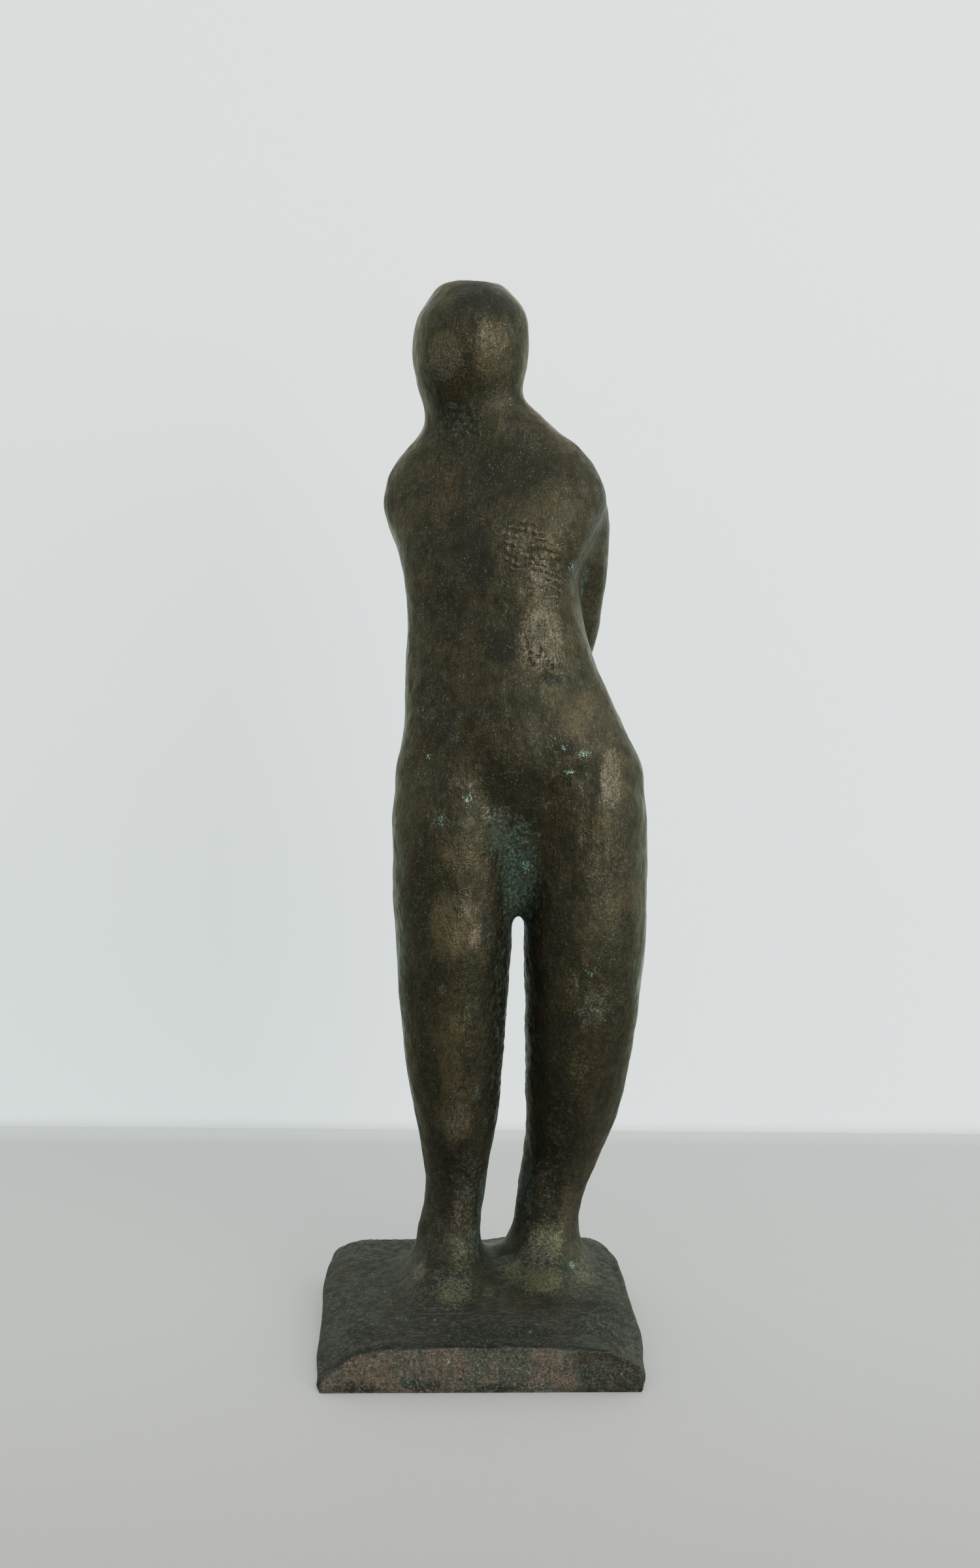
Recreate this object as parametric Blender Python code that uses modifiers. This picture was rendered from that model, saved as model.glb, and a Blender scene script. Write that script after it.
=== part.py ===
"""A cast bronze statuette: a standing faceless nude with its arms folded behind its back, on a slab base.

The figure and its base are two castings, bolted together through the feet and chased over at the joint.
Run it with: blender --background --python part.py

+X is the figure's own left, which a viewer in front sees on the right. -Y is its front and +Z is up.
The origin is on the shelf under the middle of the base.
"""

from math import copysign, cos, exp, pi, radians, sin
from typing import NamedTuple

import bmesh
import bpy
import numpy as np
from mathutils import Euler, Matrix, Vector
from mathutils.bvhtree import BVHTree

MM = 0.001

# Driving dimensions, in millimetres.
CROWN_HEIGHT = 261.2
BASE_WIDTH = 77.0
BASE_DEPTH = 73.0
DECK_HEIGHT = 10.0  # top of the slab, away from its edges
SEAM_HEIGHT = 13.0  # the level at which the feet were sawn from the base
GAP = 0.3  # between pieces that touch

# Fasteners: M4 studs, each with a washer and a nut in a counterbore under the slab.
STUD_PLACES = {"left": (17.2, 19.5), "right": (-6.6, 14.0)}
STUD_RADIUS = 2.0
STUD_FOOT = 0.6
STUD_TOP = 31.0
COUNTERBORE_RADIUS = 6.5
COUNTERBORE_DEPTH = 6.0
WASHER_RADIUS = 4.5
WASHER_THICKNESS = 0.8
NUT_ACROSS_FLATS = 7.0
NUT_THICKNESS = 3.2

# The plug in the crown, and the pins that close the holes of the core supports.
CROWN_PLACE = (-5.2, 8.0)
CROWN_TILT = 4.0  # degrees: the ground facet falls towards +X
CROWN_PLUG_RADIUS = 4.6
CROWN_PLUG_LENGTH = 6.0
CORE_PIN_RADIUS = 1.6
CORE_PIN_LENGTH = 5.5
CORE_PIN_HOLE = 11.5  # depth of its hole, which reaches the hollow

# The modelled surface.
RING_POINTS = 40
RING_SPACING = 2.5
SLAB_CUTS = 30
VOXEL = 1.4
SMOOTHING_PASSES = 9
CASTING_FACES = 7600  # triangles left in the modelled surface


class Section(NamedTuple):
    """One level of a body form: a rounded shape about (x, y), turned about the vertical."""

    height: float
    x: float
    y: float
    half_width: float
    half_depth: float
    turn: float = 0.0  # degrees, positive turns the front towards +X
    squareness: float = 2.0  # 2 is an ellipse, more is boxier


HEAD = [
    Section(225.0, -3.4, 9.6, 8.0, 8.4),
    Section(230.0, -3.6, 9.2, 10.9, 11.0),
    Section(236.0, -4.2, 8.3, 12.8, 12.8),
    Section(241.0, -4.2, 7.8, 14.0, 14.4),
    Section(247.0, -4.1, 7.8, 14.4, 15.2),
    Section(252.0, -4.0, 8.0, 13.8, 14.8),
    Section(256.5, -3.9, 8.2, 11.8, 12.8),
    Section(259.6, -4.7, 8.2, 9.0, 9.6),
    Section(262.6, -5.2, 8.2, 5.0, 5.4),
]

TRUNK = [
    Section(106.6, 9.4, 6.2, 6.0, 4.0),
    Section(112.0, 9.5, 6.4, 13.0, 6.4),
    Section(120.0, 9.6, 6.6, 20.0, 9.0),
    Section(128.0, 9.6, 6.6, 27.0, 11.8, 0.0, 2.1),
    Section(135.0, 9.6, 6.6, 30.6, 14.4, 0.0, 2.2),
    Section(142.0, 9.3, 6.5, 31.0, 16.2, -2.0, 2.3),
    Section(150.0, 8.4, 6.5, 28.6, 17.0, -4.0, 2.4),
    Section(160.0, 6.1, 6.2, 25.8, 15.6, -7.0, 2.3),
    Section(171.0, 3.9, 6.0, 23.2, 14.4, -10.0, 2.3),
    Section(182.0, 2.2, 6.5, 21.6, 14.2, -13.0, 2.3),
    Section(191.0, 1.2, 7.5, 22.0, 15.0, -15.0, 2.3),
    Section(201.0, 2.4, 9.0, 25.2, 15.6, -16.0, 2.2),
    Section(210.0, 2.2, 10.0, 28.2, 14.6, -16.0, 2.1),
    Section(216.5, 1.5, 10.4, 25.9, 13.4, -15.0),
    Section(222.0, 1.7, 10.6, 21.5, 12.6, -13.0),
    Section(226.5, 1.0, 10.4, 16.8, 12.2, -10.0),
    Section(231.0, -2.2, 10.0, 13.2, 11.6, -5.0),
    Section(239.0, -4.0, 9.0, 10.8, 10.6),
]

LEFT_LEG = [
    Section(4.0, 18.2, 16.5, 16.6, 17.6),
    Section(10.0, 18.5, 18.6, 12.8, 13.6),
    Section(16.0, 18.8, 20.2, 10.0, 10.6),
    Section(22.0, 19.2, 20.5, 8.8, 9.0),
    Section(30.0, 20.4, 20.0, 8.9, 9.2),
    Section(40.0, 22.7, 18.0, 10.0, 10.4),
    Section(50.0, 24.6, 15.0, 11.3, 11.8),
    Section(60.0, 25.5, 12.0, 12.6, 12.8),
    Section(72.0, 25.9, 9.0, 13.7, 13.4),
    Section(84.0, 26.4, 7.6, 14.6, 14.6),
    Section(98.0, 26.7, 7.0, 15.4, 15.8),
    Section(112.0, 26.6, 6.8, 15.4, 16.4),
    Section(124.0, 26.4, 6.6, 15.3, 16.7),
    Section(136.0, 25.2, 6.5, 15.5, 16.2),
    Section(147.0, 22.6, 6.4, 13.4, 14.6),
    Section(158.0, 18.0, 6.2, 10.0, 10.0),
]

RIGHT_LEG = [
    Section(4.0, -7.2, 10.5, 15.4, 16.4),
    Section(10.0, -7.2, 12.4, 11.8, 12.6),
    Section(16.0, -7.0, 14.0, 9.2, 9.8),
    Section(22.0, -6.6, 14.4, 8.1, 8.8),
    Section(30.0, -5.3, 14.0, 7.6, 8.6),
    Section(40.0, -5.0, 12.4, 8.6, 9.8),
    Section(50.0, -5.3, 10.4, 10.0, 11.2),
    Section(60.0, -5.7, 8.6, 11.5, 12.2),
    Section(72.0, -6.1, 7.0, 12.9, 13.0),
    Section(84.0, -6.5, 6.4, 13.8, 14.2),
    Section(98.0, -6.7, 6.4, 14.7, 15.6),
    Section(112.0, -7.2, 6.6, 15.1, 16.0),
    Section(124.0, -7.1, 6.6, 15.2, 16.6),
    Section(136.0, -6.2, 6.5, 15.5, 16.0),
    Section(147.0, -3.6, 6.3, 13.6, 14.6),
    Section(158.0, -1.0, 6.2, 10.0, 10.0),
]

# A foot runs forward from its heel. Here the first column is the distance forward, x is sideways and y is
# the height of its middle above the deck, and the half sizes are across and upward.
FOOT = [
    Section(-5.0, 0.0, 1.0, 5.0, 4.0),
    Section(0.0, 0.0, 2.0, 8.0, 7.0),
    Section(7.0, 0.0, 2.6, 9.2, 8.6),
    Section(14.0, 0.0, 2.2, 9.4, 8.0),
    Section(21.0, 0.0, 1.0, 8.8, 6.0),
    Section(28.0, 0.0, 0.2, 7.6, 4.3),
    Section(34.0, 0.0, -0.4, 5.2, 3.0),
]
# Each foot's heel, and how far it turns towards +X, in degrees.
FEET = {"left": ((19.4, 28.0), -5.0), "right": ((-6.2, 23.0), -6.0)}

# An arm is a tube with a radius at each point, from inside the shoulder to the clasped hands.
LEFT_ARM = [
    ((15.0, 9.5, 213.0), 6.5),
    ((22.0, 11.5, 207.5), 8.6),
    ((23.7, 14.0, 199.0), 8.0),
    ((23.8, 17.5, 186.0), 6.8),
    ((22.5, 20.5, 173.0), 6.2),
    ((17.0, 23.5, 163.5), 6.0),
    ((9.0, 24.0, 159.5), 5.6),
    ((1.5, 23.5, 158.5), 6.4),
    ((-2.0, 22.5, 158.0), 5.0),
]
RIGHT_ARM = [
    ((-9.0, 13.5, 214.0), 6.5),
    ((-16.4, 15.5, 209.0), 8.6),
    ((-14.8, 18.0, 199.0), 7.6),
    ((-12.6, 20.5, 186.0), 6.6),
    ((-11.6, 22.0, 173.0), 6.0),
    ((-7.5, 23.0, 162.0), 5.8),
    ((-0.5, 24.5, 155.5), 5.8),
    ((5.0, 24.0, 152.5), 6.6),
    ((8.0, 22.5, 151.5), 5.0),
]

# Soft masses laid over the tubes and sections: place, half sizes, and turn about each axis in degrees.
MASSES = {
    "clasped hands": ((3.0, 22.5, 155.5), (10.5, 6.0, 8.0), (0, 12, 0)),
    "left buttock": ((23.0, 13.0, 132.0), (14.0, 12.0, 16.0), (0, 0, 0)),
    "right buttock": ((-4.5, 13.0, 133.0), (13.5, 12.0, 16.0), (0, 0, 0)),
    "left shoulder": ((19.4, 11.0, 205.5), (10.4, 9.0, 11.0), (0, 0, -16)),
    "right shoulder": ((-15.0, 14.0, 208.5), (10.8, 9.0, 10.5), (0, 0, -16)),
    "belly": ((7.5, -0.6, 156.0), (18.0, 10.6, 26.0), (0, 0, 0)),
    "clay around the feet": ((5.0, 12.0, 8.8), (31.0, 25.0, 3.4), (0, 0, 0)),
}

# The hollow that the core left in the trunk and head: a plain upright form, not a copy of the skin.
CORE = [
    Section(126.0, 9.0, 6.5, 5.0, 4.0),
    Section(130.0, 9.0, 6.5, 10.0, 7.6),
    Section(138.0, 9.2, 6.5, 12.8, 9.6, -2.0),
    Section(150.0, 9.6, 6.5, 12.8, 9.8, -4.0),
    Section(160.0, 7.0, 6.4, 12.8, 9.6, -7.0),
    Section(171.0, 4.2, 6.2, 12.8, 9.2, -10.0),
    Section(182.0, 2.4, 6.8, 12.8, 9.0, -13.0),
    Section(191.0, 1.6, 7.8, 12.8, 9.4, -15.0),
    Section(201.0, 2.0, 9.2, 12.8, 9.8, -16.0),
    Section(210.0, 1.6, 10.0, 12.4, 9.2, -16.0),
    Section(218.0, 0.6, 10.4, 10.4, 8.0, -15.0),
    Section(226.5, -1.6, 10.2, 7.4, 6.6, -8.0),
    Section(231.0, -2.8, 9.6, 6.4, 6.2),
    Section(237.0, -4.0, 8.4, 7.6, 7.8),
    Section(243.0, -4.2, 7.9, 9.4, 9.8),
    Section(249.0, -4.1, 7.9, 9.4, 10.0),
    Section(253.5, -4.3, 8.0, 7.4, 7.8),
    Section(256.8, -4.9, 8.0, 4.0, 4.2),
]

# Each core pin: a point near the skin on its axis, and the way it points out.
CORE_PINS = {
    "core_pin_chest": ((3.0, -8.0, 205.0), (0.0, -1.0, 0.15)),
    "core_pin_belly": ((1.8, -8.0, 172.5), (0.0, -1.0, 0.0)),
    "core_pin_hip": ((17.2, -9.0, 150.5), (0.1, -1.0, 0.0)),
    "core_pin_upper_back": ((3.0, 24.0, 204.0), (0.0, 1.0, 0.1)),
    "core_pin_lower_back": ((3.5, 20.0, 182.0), (0.0, 1.0, 0.0)),
    "core_pin_loin": ((2.0, 23.0, 139.0), (-0.1, 1.0, 0.0)),
}


def new_collection(name):
    made = bpy.data.collections.new(name)
    bpy.context.scene.collection.children.link(made)
    return made


def add_object(name, mesh, collection):
    made = bpy.data.objects.new(name, mesh)
    collection.objects.link(made)
    return made


def mesh_from(bm, name):
    mesh = bpy.data.meshes.new(name)
    bm.to_mesh(mesh)
    bm.free()
    return mesh


def metal(name, color, roughness, metallic=1.0):
    material = bpy.data.materials.new(name)
    material.use_nodes = True
    shader = material.node_tree.nodes["Principled BSDF"]
    shader.inputs["Base Color"].default_value = (*color, 1.0)
    shader.inputs["Roughness"].default_value = roughness
    shader.inputs["Metallic"].default_value = metallic
    return material


def smooth_rows(sections, spacing=RING_SPACING):
    """The sections as an array, with rows added between them on a smooth curve through them all."""
    rows = np.array(sections, float)
    level = rows[:, 0]
    slope = np.gradient(rows, level, axis=0)
    made = []
    for i in range(len(rows) - 1):
        span = level[i + 1] - level[i]
        steps = max(1, round(span / spacing))
        for t in np.arange(steps) / steps:
            start = (1 + 2 * t) * (1 - t) ** 2 * rows[i] + t * (1 - t) ** 2 * span * slope[i]
            end = t * t * (3 - 2 * t) * rows[i + 1] + t * t * (t - 1) * span * slope[i + 1]
            made.append(start + end)
    return np.array([*made, rows[-1]])


def loft(bm, rows, place=Matrix.Identity(4)):
    """Adds a closed skin over one rounded ring for each row, moved by a matrix in millimetres."""
    rings = []
    for height, x, y, half_width, half_depth, turn, squareness in rows:
        turned = Matrix.Translation((x, y, height)) @ Matrix.Rotation(radians(turn), 4, "Z")
        ring = []
        for k in range(RING_POINTS):
            angle = 2 * pi * k / RING_POINTS
            across = half_width * copysign(abs(cos(angle)) ** (2 / squareness), cos(angle))
            along = half_depth * copysign(abs(sin(angle)) ** (2 / squareness), sin(angle))
            ring.append(bm.verts.new(place @ turned @ Vector((across, along, 0)) * MM))
        rings.append(ring)
    for lower, upper in zip(rings, rings[1:]):
        for k in range(RING_POINTS):
            after = (k + 1) % RING_POINTS
            bm.faces.new((lower[k], lower[after], upper[after], upper[k]))
    bm.faces.new(rings[0][::-1])
    bm.faces.new(rings[-1])


def arm_mesh(points):
    """A tube of changing radius through the points, as a mesh."""
    curve = bpy.data.curves.new("arm", "CURVE")
    curve.dimensions = "3D"
    curve.bevel_depth = MM
    curve.bevel_resolution = 6
    curve.use_fill_caps = True
    curve.resolution_u = 8
    spline = curve.splines.new("BEZIER")
    spline.bezier_points.add(len(points) - 1)
    for knot, (place, radius) in zip(spline.bezier_points, points):
        knot.co = Vector(place) * MM
        knot.radius = radius
        knot.handle_left_type = knot.handle_right_type = "AUTO"
    tube = add_object("arm", curve, bpy.context.scene.collection)
    graph = bpy.context.evaluated_depsgraph_get()
    mesh = bpy.data.meshes.new_from_object(tube.evaluated_get(graph))
    bpy.data.objects.remove(tube)
    return mesh


def add_ball(bm, place, half_sizes, turn=(0, 0, 0)):
    """An ellipsoid in millimetres."""
    matrix = Matrix.LocRotScale(
        Vector(place) * MM, Euler([radians(a) for a in turn]), Vector(half_sizes) * MM
    )
    bmesh.ops.create_uvsphere(bm, u_segments=32, v_segments=16, radius=1.0, matrix=matrix)


def deck_height(x, y):
    """The slab's top: it falls to the sides, most at the front, and has a lip along its front edge."""
    side = min(1.0, abs(x - 1.5) / (BASE_WIDTH / 2))
    front = min(1.0, max(0.0, (20.0 - y) / 56.0))
    fall = front * (side**2 + 7.5 * side**7) + (1 - front) * 1.5 * side**14
    back = min(1.0, max(0.0, y / (BASE_DEPTH / 2)))
    lip = exp(-(((y + BASE_DEPTH / 2) / 3.5) ** 2)) - 0.5 * exp(-(((y + 28.0) / 5.0) ** 2))
    swell = 1.5 * exp(-(((x - 22.0) / 15.0) ** 2) - ((y - 35.0) / 13.0) ** 2)
    ripple = 0.25 * sin(x / 7.0 + 1.0) * cos(y / 9.0)
    rise = 1.0 * back
    return DECK_HEIGHT + rise - fall - 1.2 * back**14 + lip + swell + ripple


def side_wave(x, y):
    """How far the slab's sides stand out at this length: straight on the left, wandering on the right."""
    if x < 0:
        return 0.3
    return 0.4 + 1.0 * exp(-(((y + 14.0) / 10.0) ** 2)) - 0.9 * exp(-(((y + 39.0) / 6.0) ** 2))


def add_slab(bm):
    """The slab before its front and underside are cut flat: longer at the front, and deeper."""
    front, back, bottom = -BASE_DEPTH / 2 - 7.0, BASE_DEPTH / 2 + 0.8, -6.0
    slab = bmesh.new()
    bmesh.ops.create_cube(slab, size=2.0)
    bmesh.ops.subdivide_edges(slab, edges=slab.edges, cuts=SLAB_CUTS, use_grid_fill=True)
    for vert in slab.verts:
        u, v, w = vert.co
        # The corners of the plan are rounded, more at the back on the right.
        round_power = 5.0 if u > 0 and v > 0 else 9.0
        reach = max(abs(u), abs(v), 0.001)
        pull = reach / (abs(u) ** round_power + abs(v) ** round_power + 1e-30) ** (1 / round_power)
        x, y = u * pull * BASE_WIDTH / 2, (front + back) / 2 + v * pull * (back - front) / 2
        x += u * side_wave(u, y)
        vert.co = Vector((x, y, bottom + (w + 1) / 2 * (deck_height(x, y) - bottom))) * MM
    slab_mesh = mesh_from(slab, "slab")
    bm.from_mesh(slab_mesh)
    bpy.data.meshes.remove(slab_mesh)


def wax_form():
    """Everything that was modelled in wax, as overlapping closed forms in one mesh."""
    bm = bmesh.new()
    add_slab(bm)
    for sections in (HEAD, TRUNK, LEFT_LEG, RIGHT_LEG):
        loft(bm, smooth_rows(sections))
    for (x, y), turn in FEET.values():
        forward = Matrix.Rotation(radians(turn), 4, "Z") @ Matrix.Rotation(radians(90), 4, "X")
        loft(bm, smooth_rows(FOOT), Matrix.Translation((x, y, DECK_HEIGHT)) @ forward)
    for arm in (LEFT_ARM, RIGHT_ARM):
        mesh = arm_mesh(arm)
        bm.from_mesh(mesh)
        bpy.data.meshes.remove(mesh)
    for place, half_sizes, turn in MASSES.values():
        add_ball(bm, place, half_sizes, turn)
    bmesh.ops.remove_doubles(bm, verts=bm.verts, dist=0.00001)
    bmesh.ops.recalc_face_normals(bm, faces=bm.faces)
    return mesh_from(bm, "wax")


def modelled_surface(helpers):
    """The wax form as one smooth skin."""
    wax = add_object("wax", wax_form(), helpers)
    remesh = wax.modifiers.new("one_skin", "REMESH")
    remesh.mode = "VOXEL"
    remesh.voxel_size = VOXEL * MM
    smooth = wax.modifiers.new("soften", "SMOOTH")
    smooth.factor = 0.5
    smooth.iterations = SMOOTHING_PASSES
    graph = bpy.context.evaluated_depsgraph_get()
    faces = 2 * len(wax.evaluated_get(graph).data.polygons)
    thin = wax.modifiers.new("fewer_faces", "DECIMATE")
    thin.ratio = CASTING_FACES / faces
    thin.use_collapse_triangulate = True
    graph = bpy.context.evaluated_depsgraph_get()
    skin = bpy.data.meshes.new_from_object(wax.evaluated_get(graph))
    bpy.data.objects.remove(wax)
    return skin


def helper(obj):
    obj.hide_render = True
    obj.display_type = "WIRE"
    return obj


def shade(obj, material):
    obj.data.materials.clear()
    obj.data.materials.append(material)
    obj.data.shade_smooth()
    obj.data.set_sharp_from_angle(angle=radians(40))


def round_bar(name, radius, length, place, collection, segments=32):
    """A cylinder from the origin of a frame, along its Z. Its frame is a matrix in metres."""
    bm = bmesh.new()
    bmesh.ops.create_cone(
        bm,
        cap_ends=True,
        segments=segments,
        radius1=radius * MM,
        radius2=radius * MM,
        depth=length * MM,
        matrix=Matrix.Translation((0, 0, length / 2 * MM)),
    )
    made = add_object(name, mesh_from(bm, name), collection)
    made.matrix_world = place
    return made


def upright(x, y, z):
    return Matrix.Translation(Vector((x, y, z)) * MM)


def block(name, low, high, place, collection):
    """A box between two corners, given in a frame's own millimetres."""
    low, high = Vector(low), Vector(high)
    bm = bmesh.new()
    bmesh.ops.create_cube(bm, size=1.0)
    for vert in bm.verts:
        vert.co = (vert.co * (high - low) + (high + low) / 2) * MM
    made = helper(add_object(name, mesh_from(bm, name), collection))
    made.matrix_world = place
    return made


def cut(obj, cutters, operation="DIFFERENCE"):
    for cutter in cutters:
        boolean = obj.modifiers.new(cutter.name, "BOOLEAN")
        boolean.object = cutter
        boolean.operation = operation


def core_space(helpers):
    bm = bmesh.new()
    loft(bm, smooth_rows(CORE, 5.0))
    return helper(add_object("core_space", mesh_from(bm, "core_space"), helpers))


def pin_frame(skin, place, outward):
    """The frame of a core pin: on the skin, with Z pointing out."""
    tree = BVHTree.FromPolygons([v.co for v in skin.vertices], [p.vertices for p in skin.polygons])
    outward = Vector(outward).normalized()
    hit = tree.ray_cast(Vector(place) * MM + outward * 0.04, -outward)[0]
    return Matrix.Translation(hit) @ outward.to_track_quat("Z", "Y").to_matrix().to_4x4()


def add_core_pins(skin_guide, parts, helpers):
    """The pins, trimmed to the skin. Returns the holes for them, which run on into the core's space."""
    holes = []
    for name, (place, outward) in CORE_PINS.items():
        frame = pin_frame(skin_guide.data, place, outward)
        start = frame @ upright(0, 0, -CORE_PIN_LENGTH)
        pin = round_bar(name, CORE_PIN_RADIUS, CORE_PIN_LENGTH + 3.0, start, parts, 24)
        cut(pin, [skin_guide], "INTERSECT")
        start = frame @ upright(0, 0, -CORE_PIN_HOLE)
        hole = round_bar(f"{name}_hole", CORE_PIN_RADIUS + GAP, CORE_PIN_HOLE + 3.0, start, helpers, 24)
        holes.append(helper(hole))
    return holes


def add_fasteners(side, parts, helpers):
    """A stud, washer and nut under one foot. Returns the cutters for the stud's hole and its counterbore."""
    x, y = STUD_PLACES[side]
    bore = helper(
        round_bar(f"{side}_stud_hole", STUD_RADIUS + GAP, STUD_TOP + GAP + 5.0, upright(x, y, -5.0), helpers)
    )
    counterbore = helper(
        round_bar(
            f"{side}_counterbore", COUNTERBORE_RADIUS, COUNTERBORE_DEPTH + 5.0, upright(x, y, -5.0), helpers
        )
    )

    stud = round_bar(
        f"{side}_foot_stud", STUD_RADIUS, STUD_TOP - STUD_FOOT, upright(x, y, STUD_FOOT), parts
    )
    chamfer = stud.modifiers.new("chamfer", "BEVEL")
    chamfer.width = 0.4 * MM
    chamfer.segments = 1

    washer_foot = COUNTERBORE_DEPTH - GAP - WASHER_THICKNESS
    washer = round_bar(
        f"{side}_foot_washer", WASHER_RADIUS, WASHER_THICKNESS, upright(x, y, washer_foot), parts
    )
    cut(washer, [bore])

    nut_radius = NUT_ACROSS_FLATS / 2 / cos(pi / 6)
    nut_foot = washer_foot - GAP - NUT_THICKNESS
    nut = round_bar(f"{side}_foot_nut", nut_radius, NUT_THICKNESS, upright(x, y, nut_foot), parts, 6)
    cut(nut, [bore])
    return bore, counterbore


def add_crown_plug(parts, helpers):
    """The plug in the ground facet on the crown. Returns the cutters for its hole and the facet."""
    crown = upright(*CROWN_PLACE, CROWN_HEIGHT) @ Matrix.Rotation(radians(CROWN_TILT), 4, "Y")
    start = crown @ upright(0, 0, -CROWN_PLUG_LENGTH)
    round_bar("crown_plug", CROWN_PLUG_RADIUS, CROWN_PLUG_LENGTH, start, parts, 40)
    start = crown @ upright(0, 0, -CROWN_PLUG_LENGTH - 3.0)
    hole = round_bar("crown_hole", CROWN_PLUG_RADIUS + GAP, CROWN_PLUG_LENGTH + 6.0, start, helpers, 40)
    above_crown = block("above_crown", (-30, -30, 0), (30, 30, 20), crown, helpers)
    return helper(hole), above_crown


def add_figure(skin, cutters, parts, helpers):
    """The figure, hollow in the trunk and head, and sawn flat through its feet."""
    figure = add_object("figure_casting", skin.copy(), parts)
    below_seam = block("below_seam", (-90, -90, -30), (90, 90, SEAM_HEIGHT), upright(0, 0, 0), helpers)
    cut(figure, [below_seam, core_space(helpers), *cutters])


def add_base(skin, cutters, parts, helpers):
    """The slab and the soles of the feet, flat underneath and sawn flat along the front."""
    base = add_object("base_casting", skin.copy(), parts)
    level = upright(0, 0, 0)
    above_seam = block("above_seam", (-90, -90, SEAM_HEIGHT - GAP), (90, 90, 300), level, helpers)
    under_slab = block("under_slab", (-90, -90, -30), (90, 90, 0), level, helpers)
    before_slab = block("before_slab", (-90, -90, -30), (90, -BASE_DEPTH / 2, 60), level, helpers)
    cut(base, [above_seam, under_slab, before_slab, *cutters])


def add_materials(parts):
    finishes = {
        "figure_casting": metal("dark_bronze_patina", (0.115, 0.085, 0.055), 0.42),
        "base_casting": metal("green_brown_bronze_patina", (0.095, 0.09, 0.07), 0.55),
        "pin": metal("chased_bronze", (0.13, 0.1, 0.065), 0.4),
        "foot": metal("plated_steel", (0.55, 0.55, 0.53), 0.35),
    }
    for obj in parts.objects:
        kind = "foot" if "_foot_" in obj.name else "pin"
        shade(obj, finishes.get(obj.name, finishes[kind]))


def main():
    for obj in list(bpy.data.objects):
        bpy.data.objects.remove(obj)
    parts = new_collection("bronze_statuette")
    helpers = new_collection("cutters")

    skin = modelled_surface(helpers)
    skin_guide = helper(add_object("modelled_skin", skin, helpers))
    left_bore, left_counterbore = add_fasteners("left", parts, helpers)
    right_bore, right_counterbore = add_fasteners("right", parts, helpers)
    crown_hole, above_crown = add_crown_plug(parts, helpers)
    pin_holes = add_core_pins(skin_guide, parts, helpers)
    add_figure(skin, [above_crown, crown_hole, left_bore, right_bore, *pin_holes], parts, helpers)
    base_cutters = [left_bore, right_bore, left_counterbore, right_counterbore]
    add_base(skin, base_cutters, parts, helpers)
    add_materials(parts)


main()
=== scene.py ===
import itertools
import math

import bmesh
import bpy
import numpy as np
from mathutils import Matrix, Vector
from mathutils.bvhtree import BVHTree


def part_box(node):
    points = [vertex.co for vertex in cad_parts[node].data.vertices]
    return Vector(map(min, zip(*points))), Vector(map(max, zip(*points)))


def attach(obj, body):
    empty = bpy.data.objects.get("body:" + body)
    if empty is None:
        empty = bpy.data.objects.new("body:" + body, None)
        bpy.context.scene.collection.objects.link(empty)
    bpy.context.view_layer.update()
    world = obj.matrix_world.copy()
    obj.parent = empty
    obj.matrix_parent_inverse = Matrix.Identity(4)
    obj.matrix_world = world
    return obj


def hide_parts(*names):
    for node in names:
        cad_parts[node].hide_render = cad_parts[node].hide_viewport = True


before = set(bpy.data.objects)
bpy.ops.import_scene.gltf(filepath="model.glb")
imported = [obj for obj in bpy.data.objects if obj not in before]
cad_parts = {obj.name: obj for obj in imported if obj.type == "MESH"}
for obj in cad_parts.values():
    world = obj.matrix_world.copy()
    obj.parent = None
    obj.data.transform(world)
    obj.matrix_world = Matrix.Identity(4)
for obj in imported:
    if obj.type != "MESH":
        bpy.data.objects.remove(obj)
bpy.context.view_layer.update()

# Lengths are in millimetres unless a name says otherwise. Blender's own units are metres.
MM = 0.001

SEAM_HEIGHT = 12.85
SAWN_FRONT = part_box("base_casting")[0].y / MM
BODY_MIDDLE = 8.0

# The skin is remeshed coarse and then fine. Its flat faces are pushed out first, and cut back.
OVERSHOOT = 7.0
COARSE_VOXEL = 1.2
COARSE_PASSES = 14
FINE_VOXEL = 0.8
FINE_PASSES = 3
MELT_PASSES = 22
CROWN_PASSES = 60
REGAINED = 0.2
# A face thinner than this is closed up.
NEEDLE = 0.012

PIN_NODES = [name for name in sorted(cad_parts) if name.startswith("core_pin_")]
PLUG_NODES = PIN_NODES + ["crown_plug"]
STUD_NODES = ["left_foot_stud", "right_foot_stud"]
UP = (0, 0, 1)
COUNTERBORE_RADIUS = 6.5
COUNTERBORE_DEPTH = 6.0
STUD_HOLE_RADIUS = 2.3
STUD_HOLE_TOP = 31.6
PLUG_CLEARANCE = 0.02
PIN_WIDENING = 1.22
CROWN_PLUG_WIDENING = 1.1


# ---------------------------------------------------------------- mesh helpers


def mesh_from(points, faces, name="shape"):
    mesh = bpy.data.meshes.new(name)
    mesh.from_pydata((np.asarray(points, float) * MM).tolist(), [], faces)
    mesh.update()
    return mesh


def points_of(mesh):
    """Vertex places in millimetres."""
    flat = np.zeros(len(mesh.vertices) * 3, np.float32)
    mesh.vertices.foreach_get("co", flat)
    return flat.reshape(-1, 3).astype(float) / MM


def normals_of(mesh):
    flat = np.zeros(len(mesh.vertices) * 3, np.float32)
    mesh.vertex_normals.foreach_get("vector", flat)
    return flat.reshape(-1, 3).astype(float)


def set_points(mesh, points):
    mesh.vertices.foreach_set("co", (points * MM).astype(np.float32).ravel())
    mesh.update()


def edges_of(mesh):
    flat = np.zeros(len(mesh.edges) * 2, np.int32)
    mesh.edges.foreach_get("vertices", flat)
    return flat.reshape(-1, 2)


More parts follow.
